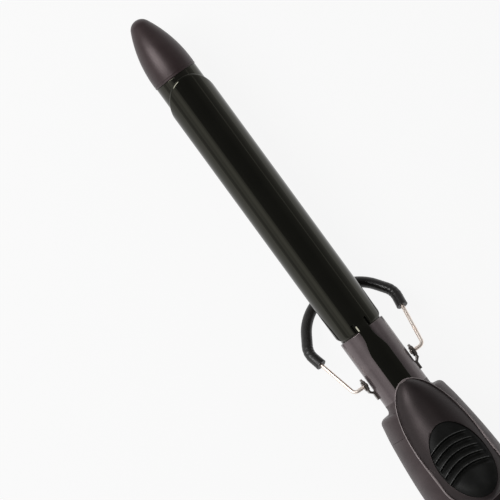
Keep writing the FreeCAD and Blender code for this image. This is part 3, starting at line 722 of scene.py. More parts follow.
def make_stand_sleeve():
    """Rubber tube, cut square and a little flared where it was pushed over the wire."""
    slope = (SHOULDER[1] - ELBOW_Y) / SHOULDER[0]
    line = stand_line([(SLEEVE_START, ELBOW_Y + slope * SLEEVE_START)], [SHOULDER_R])
    fine = []
    for a, b in zip(line, line[1:]):
        count = max(1, round((b - a).length / (0.5 * MM)))
        fine += [a.lerp(b, i / count) for i in range(count)]
    fine.append(line[-1])

    def outer(share):
        near = min(share, 1 - share)
        flare = 0.1 * math.exp(-near * 60)
        folds = 0.05 * math.sin(near * 260) * math.exp(-((near - 0.11) / 0.05) ** 2)
        return SLEEVE_R + 0.02 + flare + folds

    rings = swept(fine, outer, stand_normal(), 32)
    rings += reversed(swept(fine, lambda share: WIRE_R + 0.02, stand_normal(), 32))
    piece = new_object("stand_rubber_sleeve", Form().skin(rings, wrap=True))
    soften(piece, 0.18, angle=60)
    finish_piece(piece, "stand", "sleeve_rubber", ["stand_sleeve"], smooth=45)


def make_eyelets():
    """Two rolled eyelets that hold the wire's ends in the bracket's ears."""
    low, high = 11.3, 13.1
    flange, barrel, bore, lip = 2.2, 1.5, WIRE_R + 0.05, 0.25
    profile = [(low, bore)]
    profile += arc((low + lip, flange - lip), lip, 180, 0, 8)
    profile += [(low + 0.5, barrel), (high - 0.5, barrel)]
    profile += arc((high - lip, flange - lip), lip, 180, 0, 8)
    profile += [(high, bore)]
    form = Form()
    for side in (-1, 1):
        form.skin(turned(profile, place(STAND_AT, 0, STAND_Z), (0, side, 0), 48), wrap=True)
    piece = new_object("stand_rolled_eyelets", form)
    finish_piece(piece, "handle", "bracket_steel", ["stand_eyelets"])


# ---- screws ---------------------------------------------------------------------------------------
SHANK_R = 1.05


def screw_shape(origin, up, head_z, head_r, head_h, shank_r, tail_z):
    """Pan-head screw; heights run along up, from the shank's tail to the head's crown."""
    crown = head_z + head_h
    profile = [(tail_z, 0), (tail_z, shank_r * 0.55), (tail_z + 1.2, shank_r * 0.8)]
    thread = 0.7
    at = tail_z + 1.6
    while at < head_z - 0.8:
        profile += [(at, shank_r * 0.82), (at + thread * 0.4, shank_r), (at + thread * 0.5, shank_r)]
        at += thread
    profile += [(head_z, shank_r * 0.82), (head_z, head_r)]
    profile += [(head_z + head_h * math.sin(t), head_r * (0.45 + 0.55 * math.cos(t)))
                for t in steps(0.15, math.pi / 2, 6)]
    profile += [(crown, 0)]
    return turned(profile, origin, up, 40)


def cross_recess(origin, up, crown, head_r, depth):
    """Two crossed bars that cut a screw's recess."""
    bars = []
    top = Vector(up) * (crown + 1) * MM
    floor = Vector(up) * (crown - depth) * MM
    for long, wide in ((head_r * 0.62, 0.27), (0.27, head_r * 0.62)):
        ring = [(-long, -wide), (long, -wide), (long, wide), (-long, wide)]
        bars.append(Form().skin([[origin + end + Vector((x * MM, y * MM, 0)) for x, y in ring]
                                 for end in (floor, top)]))
    return bars


def make_screws():
    """Every screw that shows: below the band, on the hinge bracket and in the handle's wells."""
    wells = [place(s, side * y, 0) for s, y in SCREWS for side in (-1, 1)]
    for name, node, up, head_r, head_h in (
        ("stand_cross_screw", "stand_screw", -1, 2.3, 1.3),
        ("bracket_cross_screw", "bracket_screw", 1, 2.0, 0.9),
        ("handle_cross_screws", "handle_screws", -1, 2.4, 1.9),
    ):
        low, high = heights(node)
        top, tail = (high, low) if up > 0 else (-low, -high)
        places = wells if node == "handle_screws" else [place(sum(ends(node)) / 2, 0, 0)]
        make_screw_set(name, places, (0, 0, up), top - head_h, head_r, head_h, SHANK_R, tail, node)


def make_screw_set(name, places, up, head_z, head_r, head_h, shank_r, tail_z, node):
    form = Form()
    recesses = []
    for origin in places:
        form.skin(screw_shape(origin, up, head_z, head_r, head_h, shank_r, tail_z), caps=False)
        recesses += cross_recess(origin, up, head_z + head_h, head_r, 0.8)
    piece = new_object(name, form)
    carve(piece, *recesses)
    finish_piece(piece, "handle", "fastener_steel", [node], smooth=30)


# ---- clip -----------------------------------------------------------------------------------------
SHEET = 0.75
SPOON_ARC = 88.0
CLIP_FRONT, TONGUE_REAR = ends("clip_spoon")
CLIP_OUT = half_width("clip_spoon") / math.sin(math.radians(SPOON_ARC))
CLIP_REAR = 156.2
CORNER_R = 2.3
SLOT_FRONT = 152.3
SLOT_WIDTH = 1.2
SLOT_ROWS = 8
LIP_REACH = 1.2
LIP_ROWS = 8
TAIL_ROWS = 4
LIP_DROP = 0.5
TONGUE_OUT = NECK_R + 0.35 + SHEET
RAMP_END = 157.6
TONGUE_NECK_HALF = 2.5
TONGUE_NECK_AT = 159.0
TONGUE_WIDE_AT = 168.0
TONGUE_HALF = half_width("lever_rivets") + 2.25
COIL_NOTCH = 196.3
RIVETS_AT = (189.6, 193.4)
RIVET_HOLE_R = 1.25
RIVET_BOSS_R = 2.3
KNUCKLE_R = 2.4
PIN_R = 1.25


def smooth_step(value):
    value = min(1.0, max(0.0, value))
    return value * value * (3 - 2 * value)


def on_roof(station, y, radius):
    """Point above the barrel on a cylinder of that radius."""
    return place(station, y, math.sqrt(max(0.0, radius * radius - y * y)))


def clip_columns():
    """Angles of the spoon's columns in degrees, with one on each edge of the relief slots."""
    neck = math.degrees(math.asin(TONGUE_NECK_HALF / CLIP_OUT))
    slot = math.degrees(math.asin((TONGUE_NECK_HALF + SLOT_WIDTH) / CLIP_OUT))
    wing = steps(slot, SPOON_ARC, 16)
    tongue = steps(-neck, neck, 6)
    return [-a for a in reversed(wing)] + tongue + wing, len(wing), len(tongue)


def spoon_rows(y):
    """Stations of a column's points: from the round front edge, along the spoon, to its rear corners."""
    middle = CLIP_FRONT + CLIP_OUT
    front = middle - math.sqrt(max(0.0, CLIP_OUT ** 2 - y * y))
    past = max(0.0, abs(y) - (CLIP_OUT - CORNER_R))
    rear = CLIP_REAR - CORNER_R + math.sqrt(max(0.0, CORNER_R ** 2 - past ** 2))
    straight = middle + 18
    rows = steps(front, front + LIP_REACH, LIP_ROWS)
    for end, count in ((straight, 22), (SLOT_FRONT, 24), (rear, SLOT_ROWS)):
        rows += steps(rows[-1], end, count)[1:]
    return rows


def tongue_half(station):
    share = (station - TONGUE_NECK_AT) / (TONGUE_WIDE_AT - TONGUE_NECK_AT)
    return TONGUE_NECK_HALF + (TONGUE_HALF - TONGUE_NECK_HALF) * smooth_step(share)


def tongue_radius(station):
    share = smooth_step((station - SLOT_FRONT) / (RAMP_END - SLOT_FRONT))
    return CLIP_OUT + (TONGUE_OUT - CLIP_OUT) * share


def make_clip():
    """Spoon over the barrel, a tongue that climbs onto the neck, and the hinge's two knuckles."""
    angles, wing, tongue = clip_columns()
    columns = [CLIP_OUT * math.sin(math.radians(a)) for a in angles]
    stations = list(zip(*[spoon_rows(y) for y in columns]))
    slot_row = len(stations) - 1 - SLOT_ROWS

    def layer(radius, lip_drop=0.0):
        grid = []
        for number, row in enumerate(stations):
            ahead = max(0.0, 1 - number / LIP_ROWS, 1 - (len(stations) - 1 - number) / TAIL_ROWS)
            r = radius - lip_drop * (1 - math.sqrt(1 - ahead * ahead))
            grid.append([on_roof(s, r * math.sin(math.radians(a)), r) for s, a in zip(row, angles)])
        return grid

    def kept(row, column):
        if row < slot_row:
            return True
        return column < wing - 1 or column >= wing + tongue

    form = Form().sheet(layer(CLIP_OUT, LIP_DROP), layer(CLIP_OUT - SHEET), kept)
    across = steps(-1, 1, tongue - 1)
    tongue_rows = steps(SLOT_FRONT, RAMP_END, 10) + steps(RAMP_END, TONGUE_WIDE_AT, 10)[1:]
    tongue_rows += steps(TONGUE_WIDE_AT, COIL_NOTCH, 10)[1:]

    def strip(drop):
        inner = 1 - drop / CLIP_OUT
        return [[on_roof(s, tongue_half(s) * t * inner, tongue_radius(s) - drop) for t in across]
                for s in tongue_rows]

    form.sheet(strip(0), strip(SHEET))
    piece = new_object("hair_clip_sheet", form)
    join_seam(piece, SLOT_FRONT)
    soften(piece, 0.2, angle=50)
    settle(piece)
    add_knuckles(piece)
    finish_piece(piece, "clip", "clip_enamel", ["clip_spoon"], smooth=35)


def join_seam(piece, station):
    """Removes the two end faces where spoon and tongue meet, so that they are one sheet."""
    seam_x = place(station, 0, 0).x
    joined = bmesh.new()
    joined.from_mesh(piece.data)
    limit = TONGUE_NECK_HALF * MM * 1.01
    ends_met = []
    for face in joined.faces:
        if all(abs(v.co.x - seam_x) < 1e-6 and abs(v.co.y) < limit for v in face.verts):
            ends_met.append(face)
    bmesh.ops.delete(joined, geom=ends_met, context="FACES")
    bmesh.ops.remove_doubles(joined, verts=joined.verts, dist=2e-6)
    bmesh.ops.recalc_face_normals(joined, faces=joined.faces)
    joined.to_mesh(piece.data)
    joined.free()


def add_knuckles(piece):
    """Two lugs that carry the tongue on the hinge pin."""
    lug_in = TONGUE_HALF - SHEET
    base = TONGUE_OUT - SHEET
    front = COIL_NOTCH - 0.8
    form = Form()
    for side in (-1, 1):
        rim = arc((HINGE_AT, HINGE_Z), KNUCKLE_R, 0, 172, 16)
        outline = [(front, base)] + [(TONGUE_REAR, base)] + rim + [(front, base + 1.6)]
        form.plate(outline, side * lug_in, side * TONGUE_HALF)
    lugs = new_object("knuckles", form)
    hole = turned([(-6, PIN_R + 0.05), (6, PIN_R + 0.05)], place(HINGE_AT, 0, HINGE_Z), (0, 1, 0), 32)
    carve(lugs, Form().skin(hole))
    merge(piece, lugs)


def merge(piece, other):
    """Adds another object's mesh to a piece."""
    both = bmesh.new()
    both.from_mesh(piece.data)
    both.from_mesh(other.data)
    both.to_mesh(piece.data)
    both.free()
    bpy.data.objects.remove(other)


# ---- lever and thumb pad --------------------------------------------------------------------------
LEVER_NOSE, LEVER_TAIL = ends("lever_cover")
LEVER_HALF = half_width("lever_cover")
LEVER_WIDE_AT = 216.0
LEVER_ROUND_AT = LEVER_TAIL - LEVER_HALF
LEVER_BASE_Z = heights("lever_cover")[0]
LEVER_SLOPE = math.tan(math.radians(14))
LEVER_BEND = 5.0
LEVER_WALL = 2.1
RIM = 1.1
BEAD = 0.42
LEDGE = 2 * BEAD
CROWN = 6.6
DOME_POWER = 2.6
PAD_FRONT = 204.8
PAD_REAR = 239.5
PAD_HALF = half_width("thumb_pad") + 0.1
PAD_MID = (PAD_FRONT + PAD_REAR) / 2
PAD_LONG = (PAD_REAR - PAD_FRONT) / 2
PAD_FLOOR = 1.75
BOWL = 2.0
RIBS_AT = [211.2 + 3.4 * i for i in range(5)]
RIB_BOW = 2.4
CREST_RISE = 0.38
CREST_WIDTH = 0.24
GROOVE_DEPTH = 1.15
COLUMNS = 240


def lever_half_width(station):
    """Egg plan: half an ellipse at the nose, straight sides, half a circle at the tail."""
    if station < LEVER_WIDE_AT:
        reach = (LEVER_WIDE_AT - station) / (LEVER_WIDE_AT - LEVER_NOSE)
    elif station > LEVER_ROUND_AT:
        reach = (station - LEVER_ROUND_AT) / LEVER_HALF
    else:
        reach = 0.0
    return LEVER_HALF * math.sqrt(max(0.0, 1 - reach * reach))


def lever_base(station):
    """Height of the lever's lower edge: level over the neck, then rising to the tail."""
    past = station - HINGE_AT
    return LEVER_BASE_Z + LEVER_SLOPE * (past + math.sqrt(past * past + LEVER_BEND ** 2)) / 2


def dome(station, y, inset):
    """Height of the lever's dome, drawn in by inset."""
    w = lever_half_width(station) - inset
    if w <= 0.02:
        return lever_base(station) + RIM
    crown = CROWN * (lever_half_width(station) / LEVER_HALF) ** 0.8 - max(0.0, inset - LEDGE)
    return lever_base(station) + RIM + max(0.0, crown) * max(0.0, 1 - abs(y / w) ** DOME_POWER)


def bowl(station, y):
    """How far the thumb's dish is sunk below the dome."""
    away = math.hypot((station - PAD_MID) / PAD_LONG, y / PAD_HALF)
    return BOWL * smooth_step((1 - away) / 0.8)


def lever_reach(turn, inset):
    """Distance from the pad's middle to the lever's outline, drawn in by inset."""
    near, far = 0.0, 60.0
    for _ in range(40):
        middle = (near + far) / 2
        station = PAD_MID + middle * math.cos(turn)
        inside = LEVER_NOSE + inset < station < LEVER_TAIL - inset
        if inside and abs(middle * math.sin(turn)) < lever_half_width(station) - inset:
            near = middle
        else:
            far = middle
    return near


def pad_reach(turn, inset=0.0):
    return 1 / math.hypot(math.cos(turn) / (PAD_LONG - inset), math.sin(turn) / (PAD_HALF - inset))


def lever_ring(reach, height):
    """Ring round the pad's middle from its reach and height at each turn."""
    ring = []
    for i in range(COLUMNS):
        turn = 2 * math.pi * i / COLUMNS
        r = reach(turn)
        station = PAD_MID + r * math.cos(turn)
        y = r * math.sin(turn)
        ring.append(place(station, y, height(station, y)))
    return ring


def make_lever():
    """Domed cover with a beaded rim, a sunk seat for the pad and a hollow underside."""
    outline = [lever_reach(2 * math.pi * i / COLUMNS, 0.0) for i in range(COLUMNS)]
    inner = [lever_reach(2 * math.pi * i / COLUMNS, LEVER_WALL) for i in range(COLUMNS)]

    def index(turn):
        return round(turn * COLUMNS / (2 * math.pi)) % COLUMNS

    def outer_at(inset):
        return lambda turn: outline[index(turn)] - inset

    rings = [lever_ring(outer_at(0.35), lambda s, y: lever_base(s)),
             lever_ring(outer_at(0.1), lambda s, y: lever_base(s) + 0.1),
             lever_ring(outer_at(0.0), lambda s, y: lever_base(s) + 0.35)]
    for degrees in steps(0, 120, 8):
        turned_by = math.radians(degrees)
        inset = BEAD * (1 - math.cos(turned_by))
        rise = RIM + 0.12 - BEAD + BEAD * math.sin(turned_by)
        rings.append(lever_ring(outer_at(inset), lambda s, y, rise=rise: lever_base(s) + rise))
    for share in steps(0, 1, 26):
        spread = math.cos(share * math.pi / 2)

        def reach(turn, spread=spread):
            seat = pad_reach(turn) + 0.05
            return seat + (outline[index(turn)] - LEDGE - seat) * spread

        rings.append(lever_ring(reach, lambda s, y: dome(s, y, LEDGE)))
    for inset, drop in ((-0.02, 0.02), (0.0, 0.07), (0.02, 0.3), (0.03, PAD_FLOOR)):
        rings.append(lever_ring(lambda turn, inset=inset: pad_reach(turn) - inset,
                                lambda s, y, drop=drop: dome(s, y, LEDGE) - bowl(s, y) - drop))
    for share in steps(0.9, 0.0, 8):
        rings.append(lever_ring(lambda turn, share=share: pad_reach(turn) * share,
                                lambda s, y: dome(s, y, LEDGE) - bowl(s, y) - PAD_FLOOR))
    under = []
    for share in steps(0, 1, 16):
        spread = math.cos(share * math.pi / 2)
        under.append(lever_ring(lambda turn, spread=spread: inner[index(turn)] * spread,
                                lambda s, y: dome(s, y, LEVER_WALL) - bowl(s, y) - 0.4))
    edge = lever_ring(lambda turn: inner[index(turn)], lambda s, y: lever_base(s))
    form = Form().skin([edge] + rings, caps=False)
    form.skin([edge] + under, caps=False)
    for station in RIVETS_AT:
        rise = lever_base(station) + 4.5
        foot = TONGUE_OUT + 0.02
        boss = [(foot, RIVET_HOLE_R), (foot, RIVET_BOSS_R), (rise, RIVET_BOSS_R), (rise, RIVET_HOLE_R)]
        form.skin(turned(boss, place(station, 0, 0), UP, 40), wrap=True)
    piece = new_object("thumb_lever", form)
    finish_piece(piece, "clip", "handle_plastic", ["lever_cover"], "lever_plastic", smooth=50)
    # The rim bead's faces get a lighter material: a painted highlight along the lever's edge.
    piece.data.materials.append(finish("lever_rim_painted_highlight"))
    for face in piece.data.polygons:
        station = station_of(face.center)
        y = face.center.y / MM
        turn = math.atan2(y, station - PAD_MID) % (2 * math.pi)
        inset = outline[index(turn)] - math.hypot(station - PAD_MID, y)
        height = (face.center.z - AXIS_Z) / MM - lever_base(station)
        if inset < LEDGE - 0.04 and height > 0.4:
            face.material_index = 1


def ribs_near(station, y):
    """For each of the five crescents, how far behind its crest a point lies and how strong it is there."""
    for number, apex in enumerate(RIBS_AT):
        behind = station - apex - RIB_BOW * ((y - 0.6) / 9.5) ** 2
        fade = smooth_step((9.2 + 0.3 * number + y) / 3.5) * smooth_step((10.2 + 0.2 * number - y) / 1.4)
        yield behind, fade


def rib_relief(station, y):
    """A thin crest and a steep groove behind it, which rises again to the next crest."""
    relief = 0.0
    for behind, fade in ribs_near(station, y):
        crest = CREST_RISE * math.exp(-(behind / CREST_WIDTH) ** 2)
        groove = GROOVE_DEPTH * smooth_step((behind - 0.1) / 0.6) * (1 - smooth_step((behind - 0.9) / 2.0))
        relief += fade * (crest - groove)
    return relief


# Crest faces that get the painted highlight.
def on_crest(station, y):
    return any(abs(behind + 0.03) < 0.21 and fade > 0.25 for behind, fade in ribs_near(station, y))


def pad_step(station):
    """The pad lies below the lever's skin at its front and runs out flush at its rear."""
    return 0.08 + 0.42 * (1 - smooth_step((station - PAD_FRONT) / (PAD_REAR - PAD_FRONT)))


def make_pad():
    """Rubber pad in the lever's seat, with its thumb ribs and a smooth dish behind them."""
    long, half = PAD_LONG - 0.03, PAD_HALF - 0.03

    def height(station, y, drop):
        away = math.hypot((station - PAD_MID) / PAD_LONG, y / PAD_HALF)
        edge = 0.12 * smooth_step((away - 0.975) / 0.025)
        return dome(station, y, LEDGE) - bowl(station, y) - drop - edge

    top, bottom = [], []
    for turn in steps(0.004, math.pi - 0.004, 320):
        station = PAD_MID - long * math.cos(turn)
        width = half * math.sin(turn)
        across = [width * math.sin(t) for t in steps(-math.pi / 2, math.pi / 2, 76)]
        top.append([place(station, y, height(station, y, pad_step(station)) + rib_relief(station, y))
                    for y in across])
        bottom.append([place(station, y, height(station, y, PAD_FLOOR)) for y in across])
    piece = new_object("ribbed_thumb_pad", Form().sheet(top, bottom))
    finish_piece(piece, "clip", "pad_rubber", ["thumb_pad"], smooth=60)
    # Faces on the rib crests get a lighter material: a painted highlight on each rib.
    piece.data.materials.append(finish("rib_crest_painted_highlight"))
    for face in piece.data.polygons:
        station = station_of(face.center)
        y = face.center.y / MM
        if on_crest(station, y) and face.normal.z > 0:
            face.material_index = 1


# ---- clip spring ----------------------------------------------------------------------------------
SPRING_WIRE_R = 0.4
SPRING_COIL_R = 1.9
SPRING_TURNS = 3.41
SPRING_PITCH = 1.0
SPRING_LEG = 6.0


def make_spring():
    """Torsion spring: the coil and its lower leg stay with the handle, its upper leg rises with the lever."""
    middle = place(HINGE_AT, 0, HINGE_Z)
    start = math.radians(90 - 18)
    coil = []
    count = 120
    for i in range(count + 1):
        turn = start - 2 * math.pi * SPRING_TURNS * i / count
        y = SPRING_PITCH * SPRING_TURNS * (i / count - 0.5)
        coil.append(middle + Vector((math.cos(turn) * SPRING_COIL_R, y, math.sin(turn) * SPRING_COIL_R)) * MM)
    low_end = coil[-1] + (coil[-1] - coil[-2]).normalized() * SPRING_LEG * MM
    high_end = coil[0] + (coil[0] - coil[1]).normalized() * SPRING_LEG * MM
    across = Vector((0, 1, 0))
    lower = Form().skin(swept(coil + [low_end], lambda share: SPRING_WIRE_R, across, 14))
    piece = new_object("spring_coil", lower)
    finish_piece(piece, "handle", "fastener_steel", ["clip_spring"])
    upper = Form().skin(swept([coil[0], high_end], lambda share: SPRING_WIRE_R, across, 14))
    piece = new_object("spring_upper_leg", upper)
    soften(piece, 0.1)
    finish_piece(piece, "clip", "fastener_steel", [])


# ---- handle ---------------------------------------------------------------------------------------
WALL = 2.0
HANDLE_TOP = 11.2
BELLY = -TABLE_Z + 0.3
GUARD_FACE = GUARD_FRONT + 4.0
# station, half-width, top and bottom of the handle's outside
HANDLE = (
    (GUARD_FACE, 15.2, 10.2, -18.2),
    (SHELL_FRONT, 17.0, HANDLE_TOP, -20.0),
    (222.0, 19.0, HANDLE_TOP, -BELLY),
    (240.0, 19.5, HANDLE_TOP, -BELLY),
    (258.0, 19.0, HANDLE_TOP, -BELLY),
    (280.0, 16.6, 10.0, -19.6),
    (SHELL_REAR, 13.6, 7.0, -17.4),
)
CAP_END = (CAP_REAR, 11.6, 5.0, -15.4)
TOP_FLAT = 4.0
BASE_FLAT = 7.0
SLOT_HALF = 6.6
SLOT_REAR = 211.5
SCREWS = ((221.0, 9.0), (281.5, 8.0))
SWITCH_TRAVEL = 6.0
STEM_SLOT_REACH = 2.8
STEM_SLOT_HALF = 1.9
LENS_HOLE_R = 1.7
WELL_R = 2.6
BOSS_R = 3.4
PILOT_R = 1.4
WELL_SEAT_Z = -13.5


def handle_row(station, rows=HANDLE):
    """Half-width, top and bottom at a station, on a smooth curve through the rows."""
    last = len(rows) - 2
    k = next((i for i in range(last + 1) if station <= rows[i + 1][0]), last)
    a, b = rows[k], rows[k + 1]
    before, after = rows[max(k - 1, 0)], rows[min(k + 2, last + 1)]
    share = (station - a[0]) / (b[0] - a[0])
    values = []
    for i in (1, 2, 3):
        slope_a = (b[i] - before[i]) / (b[0] - before[0])
        slope_b = (after[i] - a[i]) / (after[0] - a[0])
        span = b[0] - a[0]
        h = share * share * (3 - 2 * share)
        values.append(a[i] * (1 - h) + b[i] * h + span * share * (1 - share) ** 2 * slope_a
                      - span * share * share * (1 - share) * slope_b)
    return values


def upper_arc(station, inset, rows=HANDLE):
    """Outline above the parting line, from +Y to -Y."""
    half, top, _ = handle_row(station, rows)
    w, high = half - inset, top - inset
    side = quarter((w, PARTING_Z), (w, high), (TOP_FLAT, high), 18)
    flat = [(y, high) for y in steps(TOP_FLAT, -TOP_FLAT, 4)[1:-1]]
    return side + flat + [(-y, z) for y, z in reversed(side)]


def lower_arc(station, inset, rows=HANDLE):
    """Outline below the parting line, from -Y to +Y, cut off flat at the table."""
    half, _, low = handle_row(station, rows)
    w, bottom = half - inset, low + inset
    side = quarter((-w, PARTING_Z), (-w, bottom), (-BASE_FLAT, bottom), 18)
    flat = [(y, bottom) for y in steps(-BASE_FLAT, BASE_FLAT, 6)[1:-1]]
    whole = side + flat + [(-y, z) for y, z in reversed(side)]
    return [(y, max(z, TABLE_Z + inset)) for y, z in whole]


def outline(station, inset, rows=HANDLE):
    """The whole closed outline."""
    return upper_arc(station, inset, rows) + lower_arc(station, inset, rows)[1:-1]


def ring_at(station, points):
    return [place(station, y, z) for y, z in points]


def circle_like(points, radius, z=0.0):
    """Circle with a point in the direction of each outline point."""
    ring = []
    for y, height in points:
        turn = math.atan2(height - z, y)
        ring.append((radius * math.cos(turn), z + radius * math.sin(turn)))
    return ring


def clear_of(points, least):
    """Outline pushed out, where it must be, to stay at least that far from the axis."""
    pushed = []
    for y, z in points:
        reach = math.hypot(y, z)
        grow = max(1.0, least / reach)
        pushed.append((y * grow, z * grow))
    return pushed


def within(points, others, gap):
    """Outline drawn in, where it must be, to stay a gap inside another."""
    drawn = []
    for (y, z), (other_y, other_z) in zip(points, others):
        shrink = min(1.0, (math.hypot(other_y, other_z) - gap) / math.hypot(y, z))
        drawn.append((y * shrink, z * shrink))
    return drawn


def make_guard():
    """Round-edged front of the handle, with a concave cove that runs into the neck."""
    fillet = 1.9
    cove = 2.6
    seam = 0.1
    fitted = NECK_R + 0.04
    floor = GUARD_FACE + 3.9

    def outside(station, inset):
        return clear_of(outline(station, inset), fitted + 0.3)

    face = outside(GUARD_FACE, fillet)
    rings = [ring_at(GUARD_FRONT, circle_like(face, fitted))]
    for turn in steps(0, math.pi / 2, 9):
        ring = []
        for y, z in face:
            r = min(cove, max(0.15, math.hypot(y, z) - fitted - 0.1))
            radius = fitted + r * (1 - math.cos(turn))
            way = math.atan2(z, y)
            station = GUARD_FACE - r + r * math.sin(turn)
            ring.append(place(station, radius * math.cos(way), radius * math.sin(way)))
        rings.append(ring)
    for turn in steps(0, math.pi / 2, 9):
        station = GUARD_FACE + fillet * (1 - math.cos(turn))
        rings.append(ring_at(station, outside(station, fillet * (1 - math.sin(turn)))))
    rings += [ring_at(s, outside(s, 0)) for s in steps(GUARD_FACE + fillet, SHELL_FRONT - seam, 6)[1:]]
    for turn in steps(0, math.pi / 2, 4)[1:]:
        rings.append(ring_at(SHELL_FRONT - seam + seam * math.sin(turn),
                             outside(SHELL_FRONT, seam * (1 - math.cos(turn)))))
    rear, front = outside(SHELL_FRONT, 0), outside(floor, 0)
    collar, bore = circle_like(face, NECK_R + 1.2), circle_like(face, NECK_R - 0.75)
    hollow_rear = within(clear_of(outline(SHELL_FRONT, WALL), NECK_R + 1.4), rear, 0.4)
    hollow_front = within(clear_of(outline(floor, WALL), NECK_R + 1.4), front, 0.4)
    rings.append(ring_at(SHELL_FRONT, hollow_rear))
    rings.append(ring_at(floor, hollow_front))
    rings.append(ring_at(floor, within(collar, hollow_front, 0.1)))
    rings.append(ring_at(SHELL_FRONT, within(collar, hollow_rear, 0.1)))
    rings.append(ring_at(SHELL_FRONT, within(bore, collar, 0.1)))
    rings.append(ring_at(GUARD_FRONT, bore))
    piece = new_object("handle_front_guard", Form().skin(rings, wrap=True))
    carve(piece, Form().block(GUARD_FRONT - 1, SHELL_FRONT + 1, -SLOT_HALF, SLOT_HALF, 0, 20))
    finish_piece(piece, "handle", "handle_plastic", ["front_guard"])


def shell_form(half_outline):
    """Half of the handle with its wall, as rings of outer and inner points."""
    rings = []
    for station in steps(SHELL_FRONT, SHELL_REAR, 40):
        outer = half_outline(station, 0.0)
        inner = half_outline(station, WALL)
        rings.append(ring_at(station, outer + inner[::-1]))
    form = Form().skin(rings, caps=False)
    count = len(rings[0])
    for ring in (rings[0], rings[-1]):
        faces = [(i, i + 1, count - 2 - i, count - 1 - i) for i in range(count // 2 - 1)]
        form.add(ring, faces)
    return form


def upright(station, y, low, high, radius):
    return Form().skin(turned([(low, radius), (high, radius)], place(station, y, 0), UP, 48))


def make_upper_shell():
    piece = new_object("handle_top_shell", shell_form(upper_arc))
    soften(piece, 0.3)
    settle(piece)
    slot = Form().block(SHELL_FRONT - 1, SLOT_REAR, -SLOT_HALF, SLOT_HALF, 0, 20)
    front = SLIDER_AT - SWITCH_TRAVEL - STEM_SLOT_REACH
    stem = Form().block(front, SLIDER_AT + STEM_SLOT_REACH, -STEM_SLOT_HALF, STEM_SLOT_HALF, 0, 20)
    carve(piece, slot, stem, upright(LENS_AT, 0, 0, 20, LENS_HOLE_R))
    finish_piece(piece, "handle", "handle_plastic", ["handle_upper_shell"])


def make_lower_shell():
    """Lower half with four screw wells."""
    piece = new_object("handle_bottom_shell", shell_form(lower_arc))
    soften(piece, 0.3)
    settle(piece)
    wells = [(s, side * y) for s, y in SCREWS for side in (-1, 1)]
    carve(piece, *[upright(s, y, -30, -10, WELL_R) for s, y in wells])
    form = Form()
    for s, y in wells:
        low = handle_row(s)[2] + 1.6
        tube = [(low, WELL_R), (low, BOSS_R), (PARTING_Z, BOSS_R), (PARTING_Z, PILOT_R),
                (WELL_SEAT_Z, PILOT_R), (WELL_SEAT_Z, WELL_R)]
        form.skin(turned(tube, place(s, y, 0), UP, 40), wrap=True)
    merge(piece, new_object("wells", form))
    finish_piece(piece, "handle", "handle_plastic", ["handle_lower_shell"])


# ---- rear of the handle ---------------------------------------------------------------------------
JOURNAL_R = 6.0
CORD_R = 3.5
INLET_LENGTH = 12.0


def make_end_cap():
    rows = (HANDLE[-1], CAP_END)
    fillet = 1.5
    rings = [ring_at(SHELL_REAR + d, outline(SHELL_REAR, inset, rows))
             for d, inset in ((0.0, 0.3), (0.1, 0.1), (0.3, 0.0))]
    for turn in steps(0, math.pi / 2, 8):
        station = CAP_REAR - fillet + fillet * math.sin(turn)
        rings.append(ring_at(station, outline(station, fillet * (1 - math.cos(turn)), rows)))
    base = outline(CAP_REAR, fillet, rows)
    rings.append(ring_at(CAP_REAR, circle_like(base, JOURNAL_R + 0.35, SWIVEL_Z)))
    rings.append(ring_at(CAP_REAR - 0.3, circle_like(base, JOURNAL_R + 0.05, SWIVEL_Z)))
    rings.append(ring_at(SHELL_REAR, circle_like(base, JOURNAL_R + 0.05, SWIVEL_Z)))
    piece = new_object("handle_end_cap", Form().skin(rings, wrap=True))
    finish_piece(piece, "handle", "handle_plastic", ["end_cap"])


def make_swivel():
    """Turning cord inlet: contact shank, retaining flange, journal and a ringed nose."""
    front, rear = ends("cord_swivel")
    shank = 2.6
    flange_front = SHELL_REAR - 2.5
    nose_front = CAP_REAR + 0.4
    profile = [(front, 0), (front, shank), (flange_front, shank)]
    profile += arc((flange_front + 0.4, 7.6), 0.4, 180, 90, 3)
    profile += arc((SHELL_REAR - 0.7, 7.6), 0.4, 90, 0, 3)
    profile += [(SHELL_REAR - 0.3, JOURNAL_R), (nose_front, JOURNAL_R)]
    profile += arc((nose_front + 0.4, 6.9), 0.4, 180, 80, 4)
    for station in steps(nose_front + 0.8, rear - 0.9, 64):
        share = (station - nose_front) / (rear - nose_front)
        groove = 0.32 * max(0.0, math.sin(share * 3 * 2 * math.pi)) ** 3
        profile.append((station, 7.35 - 2.15 * share - groove))
    profile += arc((rear - 0.5, 4.75), 0.5, 80, 0, 4)
    profile += [(rear, CORD_R + 0.3), (rear - 0.3, CORD_R), (rear - INLET_LENGTH, CORD_R),
                (rear - INLET_LENGTH, 0)]
    piece = new_object("cord_swivel_nose", Form().skin(lathe(profile, SWIVEL_Z), caps=False))
    finish_piece(piece, "swivel", "neck_plastic", ["cord_swivel"], "handle_plastic", smooth=32)


